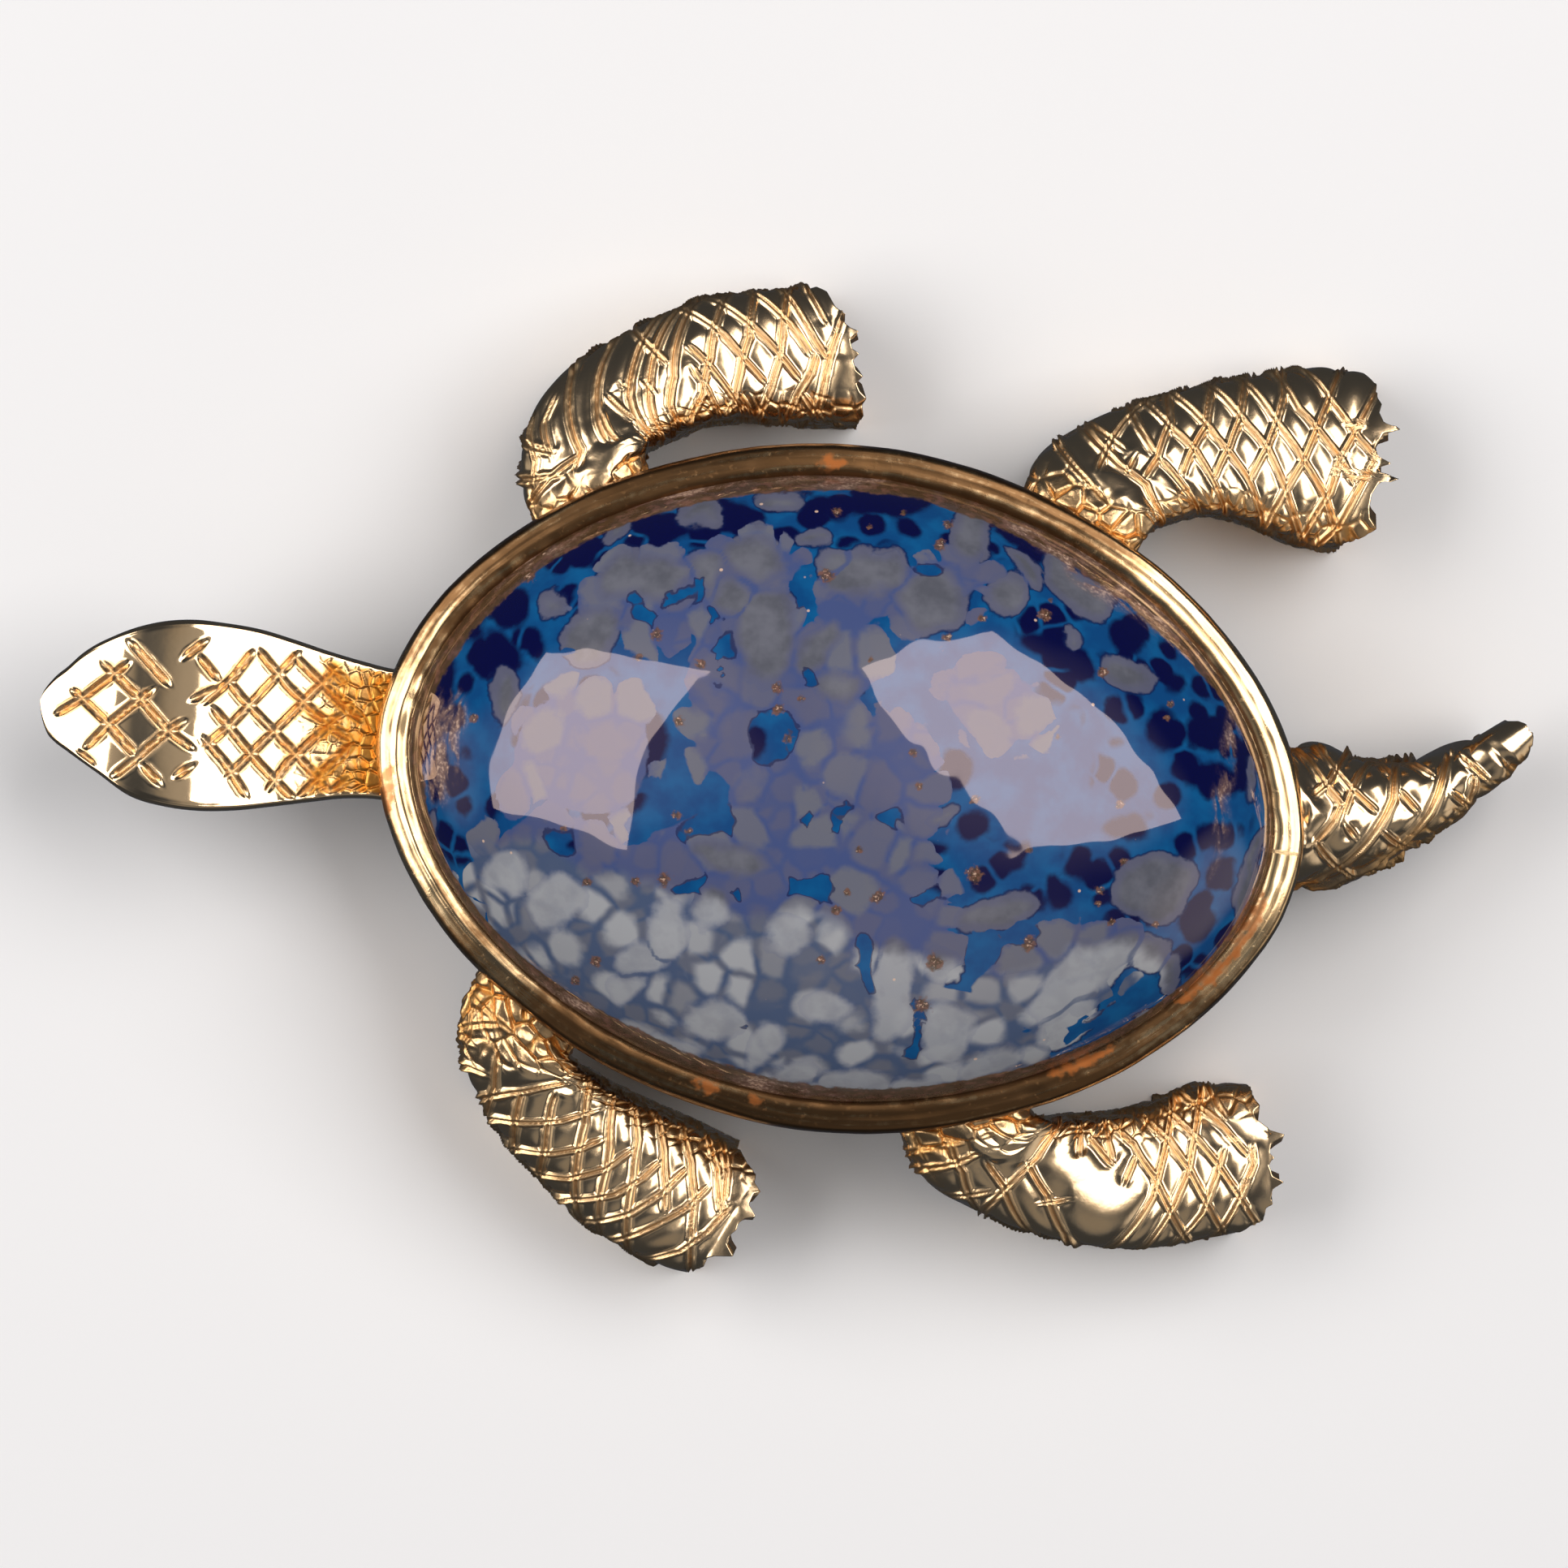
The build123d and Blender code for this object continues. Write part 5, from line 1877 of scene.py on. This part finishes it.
def flippers() -> list[Limb]:
    """The four flippers, with their chased lines and sawn ends.

    Returns:
        The front right, front left, rear right and rear left flipper.
    """
    return [
        Limb(
            "flipper_front_right", Side.RIGHT, (PHOTO.stone_x - 8.379, 7.611), 7.0, 4.8, 3.9,
            sections=flipper_sections([
                (0.10, -0.22, 125, 0.98), (0.00, 0.00, 125, 0.99), (-0.01, 0.27, 99, 1.02), (0.08, 0.50, 75, 0.96),
                (0.26, 0.71, 55, 0.93), (0.47, 0.86, 33, 0.93), (0.70, 0.94, 17, 0.98), (1.00, 1.00, 15, 1.00),
            ]),
            cuts=[
                Cut((664, 505), (655, 535), (662, 570), (660, 607)), Cut((690, 485), (672, 520), (685, 570)),
                Cut((702, 490), (706, 530), (717, 557), (710, 585)), Cut((737, 472), (736, 495), (752, 548)),
                Cut((787, 430), (775, 485), (790, 527)), Cut((837, 412), (830, 465), (825, 500), (836, 530)),
                Cut((812, 420), (800, 470), (806, 520)), Cut((882, 392), (875, 440), (865, 485), (846, 530)),
                Cut((926, 372), (922, 415), (911, 460), (904, 497), (890, 520)),
                Cut((968, 365), (960, 440), (950, 475), (934, 512)),
                Cut((1007, 430), (1000, 457), (982, 485), (968, 515)), Cut((1027, 415), (1015, 465), (1004, 512)),
                Cut((745, 485), (787, 522)), Cut((790, 466), (808, 490)), Cut((762, 470), (775, 482)),
                Cut((805, 433), (824, 452)), Cut((843, 423), (872, 448), (905, 492)),
                Cut((876, 400), (890, 412), (915, 442), (945, 474)),
                Cut((915, 392), (930, 405), (960, 435), (988, 470)), Cut((932, 362), (972, 398), (1000, 440)),
                Cut((965, 358), (1002, 415), (1024, 447)), Cut((997, 360), (1020, 402)),
                Cut((850, 450), (870, 480), (885, 512)), Cut((905, 478), (925, 505)), Cut((740, 505), (765, 548)),
                Cut((985, 478), (1012, 515)), Cut((1040, 390), (1020, 440)), Cut((650, 548), (690, 560)),
                Cut((685, 585), (722, 560)), Cut((662, 592), (700, 586)),
            ],
            sawn=[
                (1.0, -0.80), (0.92, -0.52), (0.72, -0.33), (0.62, -0.05), (0.55, -0.22), (0.40, 0.02), (0.31, 0.28),
                (0.22, -0.02), (0.08, 0.0), (-0.02, 0.22), (-0.10, -0.02), (-0.26, 0.05), (-0.36, 0.24),
                (-0.45, 0.02), (-0.58, 0.10), (-0.68, 0.26), (-0.78, 0.10), (-0.90, 0.12), (-1.0, -0.07),
            ],
            seed=11, lean=0.09, melted=2.0,
        ),
        Limb(
            "flipper_front_left", Side.LEFT, (PHOTO.stone_x - 8.113, -7.765), 6.7, 4.9, 3.9,
            sections=flipper_sections([
                (0.10, -0.21, 120, 0.95), (0.00, 0.00, 120, 0.96), (0.01, 0.18, 102, 1.00), (0.12, 0.40, 81, 0.97),
                (0.29, 0.59, 60, 0.98), (0.52, 0.77, 45, 1.05), (0.75, 0.91, 31, 1.06), (1.00, 1.00, 24, 0.98),
            ]),
            cuts=[
                Cut((587, 1225), (582, 1270), (574, 1294)), Cut((617, 1292), (610, 1340), (600, 1375)),
                Cut((645, 1340), (637, 1370), (634, 1402)), Cut((685, 1343), (677, 1375), (672, 1412), (666, 1450)),
                Cut((722, 1350), (720, 1385), (712, 1420), (708, 1462)),
                Cut((752, 1368), (750, 1415), (747, 1440), (738, 1478)),
                Cut((777, 1360), (785, 1405), (780, 1450), (772, 1500)),
                Cut((806, 1372), (817, 1420), (820, 1465), (819, 1500)),
                Cut((837, 1384), (850, 1435), (855, 1480), (850, 1525)), Cut((870, 1396), (882, 1445), (888, 1502)),
                Cut((890, 1405), (895, 1445), (891, 1485)), Cut((577, 1310), (607, 1325)),
                Cut((600, 1350), (647, 1342), (702, 1333)), Cut((608, 1375), (645, 1381), (690, 1380), (738, 1366)),
                Cut((630, 1412), (680, 1420), (715, 1415), (747, 1401)),
                Cut((652, 1450), (700, 1452), (747, 1440), (782, 1414)),
                Cut((690, 1477), (725, 1477), (757, 1472), (790, 1452), (816, 1429)),
                Cut((737, 1505), (775, 1495), (815, 1470), (849, 1438)),
                Cut((768, 1526), (805, 1512), (845, 1490), (876, 1459)),
                Cut((797, 1552), (837, 1543), (870, 1520), (902, 1485)), Cut((592, 1262), (625, 1262)),
                Cut((600, 1240), (640, 1275)), Cut((560, 1272), (590, 1288)),
            ],
            sawn=[
                (1.0, -0.20), (0.96, -0.09), (0.82, 0.10), (0.74, -0.05), (0.60, 0.20), (0.46, 0.65), (0.36, 0.30),
                (0.22, 0.25), (0.10, 0.33), (0.0, 0.28), (-0.12, 0.36), (-0.22, 0.60), (-0.32, 0.24), (-0.50, 0.20),
                (-0.57, 0.34), (-0.64, 0.05), (-0.76, -0.08), (-0.85, -0.45), (-1.0, -1.0),
            ],
            seed=21, lean=-0.10, melted=3.4,
        ),
        Limb(
            "flipper_rear_right", Side.RIGHT, (PHOTO.stone_x + 5.852, 8.800), 8.4, 2.6, 4.0,
            sections=flipper_sections([
                (-0.05, -0.46, 72, 0.97), (0.00, 0.00, 72, 0.97), (0.03, 0.24, 67, 0.98), (0.13, 0.52, 51, 0.94),
                (0.30, 0.80, 31, 0.91), (0.51, 0.96, 11, 1.02), (0.74, 1.00, 2, 1.26), (1.02, 1.00, 0, 1.20),
            ]),
            cuts=[
                Cut((1354, 549), (1377, 575), (1410, 600), (1431, 642), breadth=1.3), Cut((1424, 562), (1462, 606)),
                Cut((1430, 512), (1442, 527), (1470, 552), (1498, 600)),
                Cut((1462, 496), (1500, 540), (1540, 595), (1556, 632)),
                Cut((1505, 484), (1535, 520), (1562, 552), (1585, 602), (1598, 640)),
                Cut((1545, 478), (1577, 522), (1607, 567), (1635, 610), (1646, 650)),
                Cut((1578, 464), (1602, 502), (1625, 527), (1652, 562), (1674, 600)),
                Cut((1618, 458), (1645, 492), (1677, 537), (1702, 565)),
                Cut((1407, 594), (1425, 565), (1442, 520), (1440, 498)),
                Cut((1455, 590), (1470, 550), (1486, 525), (1492, 486)),
                Cut((1494, 594), (1515, 550), (1527, 517), (1536, 472)),
                Cut((1538, 596), (1562, 550), (1575, 517), (1584, 485), (1583, 462)),
                Cut((1560, 642), (1587, 600), (1607, 565), (1625, 527), (1640, 490), (1656, 455)),
                Cut((1607, 657), (1640, 605), (1652, 565), (1670, 535), (1689, 500)),
                Cut((1625, 672), (1652, 647), (1675, 602), (1695, 567), (1702, 538)), Cut((1350, 586), (1364, 553)),
                Cut((1395, 505), (1404, 528), (1425, 565)), Cut((1318, 570), (1340, 595), (1365, 625)),
                Cut((1372, 545), (1390, 560)), Cut((1385, 590), (1400, 560)),
            ],
            sawn=[
                (1.0, -1.10), (0.95, -0.71), (0.80, -0.64), (0.70, -0.50), (0.60, -0.56), (0.48, -0.40), (0.42, 0.15),
                (0.36, -0.38), (0.20, -0.52), (0.08, -0.46), (0.0, -0.03), (-0.07, -0.42), (-0.12, -0.34),
                (-0.18, 0.30), (-0.24, -0.32), (-0.40, -0.50), (-0.55, -0.52), (-0.68, -0.46), (-0.79, -0.22),
                (-0.86, -0.48), (-1.0, -1.10),
            ],
            seed=31, lean=0.20,
        ),
        Limb(
            "flipper_rear_left", Side.LEFT, (PHOTO.stone_x + 4.9875, -9.0845), 8.7, 1.1, 4.0,
            sections=flipper_sections([
                (-0.045, -1.10, 73, 1.01), (0.00, 0.00, 73, 1.01), (0.05, 0.41, 65, 1.05), (0.19, 0.77, 43, 0.98),
                (0.39, 0.93, 17, 0.96), (0.58, 0.80, -2, 1.01), (0.79, 0.13, -10, 1.09), (1.00, -0.18, -11, 0.96),
            ]),
            cuts=[
                Cut((1170, 1394), (1185, 1442), (1203, 1484)), Cut((1127, 1393), (1141, 1432)),
                Cut((1212, 1425), (1235, 1460), (1262, 1508)), Cut((1264, 1428), (1290, 1472), (1314, 1522)),
                Cut((1340, 1400), (1373, 1440)), Cut((1362, 1382), (1397, 1412), (1422, 1450), (1442, 1492)),
                Cut((1405, 1375), (1440, 1405), (1465, 1442), (1486, 1480)),
                Cut((1433, 1368), (1472, 1402), (1502, 1437), (1532, 1480)),
                Cut((1465, 1358), (1510, 1392), (1542, 1430)), Cut((1490, 1347), (1515, 1384)),
                Cut((1170, 1472), (1226, 1463)), Cut((1143, 1437), (1180, 1430), (1210, 1415)),
                Cut((1238, 1462), (1262, 1440), (1277, 1424), (1296, 1398)),
                Cut((1273, 1483), (1322, 1475), breadth=0.8), Cut((1382, 1464), (1401, 1420)),
                Cut((1385, 1524), (1420, 1475), (1437, 1417), (1443, 1382)),
                Cut((1420, 1528), (1447, 1487), (1465, 1445), (1472, 1405), (1478, 1368)),
                Cut((1455, 1528), (1482, 1495), (1500, 1447), (1511, 1412)),
                Cut((1508, 1513), (1530, 1477), (1546, 1437), (1543, 1408)),
                Cut((1331, 1400), (1329, 1428), breadth=0.7), Cut((1364, 1400), (1372, 1434)),
                Cut((1150, 1410), (1192, 1402)), Cut((1205, 1398), (1225, 1392)),
            ],
            sawn=[
                (1.0, -0.95), (0.90, -0.26), (0.70, -0.18), (0.64, 0.05), (0.56, -0.05), (0.42, 0.08), (0.33, 0.40),
                (0.24, 0.08), (0.06, -0.05), (-0.04, 0.16), (-0.12, 0.02), (-0.27, 0.10), (-0.37, 0.51),
                (-0.45, 0.08), (-0.60, -0.30), (-0.72, -0.39), (-0.80, -0.20), (-0.88, -0.34), (-1.0, -0.40),
            ],
            seed=71, lean=-0.09,
        ),
    ]


def tail() -> Limb:
    """The tail, which narrows and curls to the turtle's right.

    Returns:
        The tail.
    """
    rows = [
        (-0.20, -0.04, 6, 1.00, 0.93, 1.07, 1.0), (0.00, 0.00, 6, 1.00, 0.93, 0.90, 1.0),
        (0.20, 0.05, 13, 0.89, 0.89, 0.62, 1.0), (0.45, 0.21, 25, 0.62, 0.82, 0.52, 0.9),
        (0.67, 0.44, 35, 0.42, 0.74, 0.50, 0.7), (0.87, 0.76, 42, 0.23, 0.66, 0.52, 0.5),
        (1.00, 1.00, 45, 0.09, 0.60, 0.55, 0.2),
    ]
    sections = [Section(a, o, h, w, c * 5.8, f * 3.0, s) for a, o, h, w, c, f, s in rows]
    return Limb(
        "tail", Side.RIGHT, (PHOTO.stone_x + 13.3, 1.1), 6.0, 3.25, 3.8, sections,
        cuts=[
            Cut((1669, 1051), (1705, 1005), (1714, 985), (1722, 943), breadth=1.3),
            Cut((1737, 1028), (1760, 999), (1776, 962), (1788, 925), breadth=1.3),
            Cut((1795, 1005), (1815, 971), (1818, 950), breadth=1.2), Cut((1650, 1008), (1665, 971), (1682, 946)),
            Cut((1854, 948), (1866, 932)), Cut((1637, 940), (1664, 973), (1698, 1003)),
            Cut((1721, 973), (1749, 1003)), Cut((1799, 932), (1836, 962)), Cut((1783, 973), (1802, 987)),
            Cut((1652, 1012), (1673, 1035)), Cut((1740, 937), (1770, 960)), Cut((1616, 1031), (1646, 1065)),
            Cut((1698, 1019), (1728, 1040)), Cut((1700, 943), (1716, 962)),
            Cut((1612, 940), (1632, 966), (1656, 1000)), Cut((1608, 986), (1638, 962), (1660, 932)),
            Cut((1612, 1042), (1640, 1012), (1652, 985)),
        ],
        sawn=[
            (1.0, -0.32), (0.8, -0.12), (0.5, -0.02), (0.0, 0.03), (-0.5, -0.05), (-0.8, -0.2), (-1.0, -0.5),
        ],
        seed=81, crown=0.9, rings=210, columns=180, slack=0.08, melted=1.0, crumpled=0.03, burr=2.0,
        graver=Graver(half_breadth=0.12, lip=0.13, puff=0.38, puff_reach=0.34),
    )


HEAD_CUTS = [
    Cut((160, 787), (215, 848)), Cut((125, 812), (175, 860), (210, 900), (245, 926)),
    Cut((87, 845), (130, 885), (175, 935)), Cut((175, 938), (205, 970)), Cut((95, 922), (125, 947)),
    Cut((67, 882), (105, 860), (165, 815)), Cut((105, 925), (140, 890), (195, 847)),
    Cut((140, 960), (175, 932), (205, 905), (235, 885)), Cut((215, 960), (245, 940)), Cut((225, 815), (260, 787)),
    Cut((245, 805), (275, 842)), Cut((235, 865), (277, 845)),
    Cut((280, 835), (300, 860), (375, 940), (412, 982)), Cut((250, 905), (280, 940), (308, 985)),
    Cut((262, 868), (320, 940), (367, 990)), Cut((317, 797), (355, 845), (390, 880), (436, 916)),
    Cut((358, 803), (390, 835), (425, 870), (450, 892)), Cut((400, 815), (432, 848)),
    Cut((278, 962), (320, 920), (355, 885), (387, 852), (417, 822)),
    Cut((250, 925), (290, 890), (325, 852), (355, 820), (372, 800)), Cut((250, 870), (290, 835), (317, 798)),
    Cut((328, 978), (355, 940), (385, 912), (425, 876)), Cut((365, 987), (400, 950), (438, 912)),
    Cut((402, 982), (432, 955)),
]


def main() -> None:
    """Builds the brooch piece by piece, then the studio round it."""
    logging.basicConfig(level=logging.INFO, format="%(message)s")
    chased = Gold("chased_gold").material()
    # The head's lines and neck take a deeper painted shade of bounced light.
    polished = Gold(
        "polished_head_gold", deep=(0.80, 0.36, 0.06, 1), roughness=0.08, matted=0.30, line_matted=0.42,
        melt_deep=0.95, unevenness=0.008, wave=1.2,
    ).material()
    plain = PlainGold("plain_gold").material()
    Bezel().build(BurnishedGold("burnished_gold").material())
    Stone().build(MottledGlass().material())
    Head(cuts=HEAD_CUTS).build(polished)
    for limb in [*flippers(), tail()]:
        limb.build(chased)
    back = BackFittings()
    back.plate(plain)
    for side in (-1, 1):
        back.ear(side, plain)
    back.catch(plain)
    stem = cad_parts["pin_stem"]
    stem.data.materials.clear()
    stem.data.materials.append(plain)
    log.info("pin_stem: carried over")
    Studio().build()


if __name__ == "__main__":
    main()
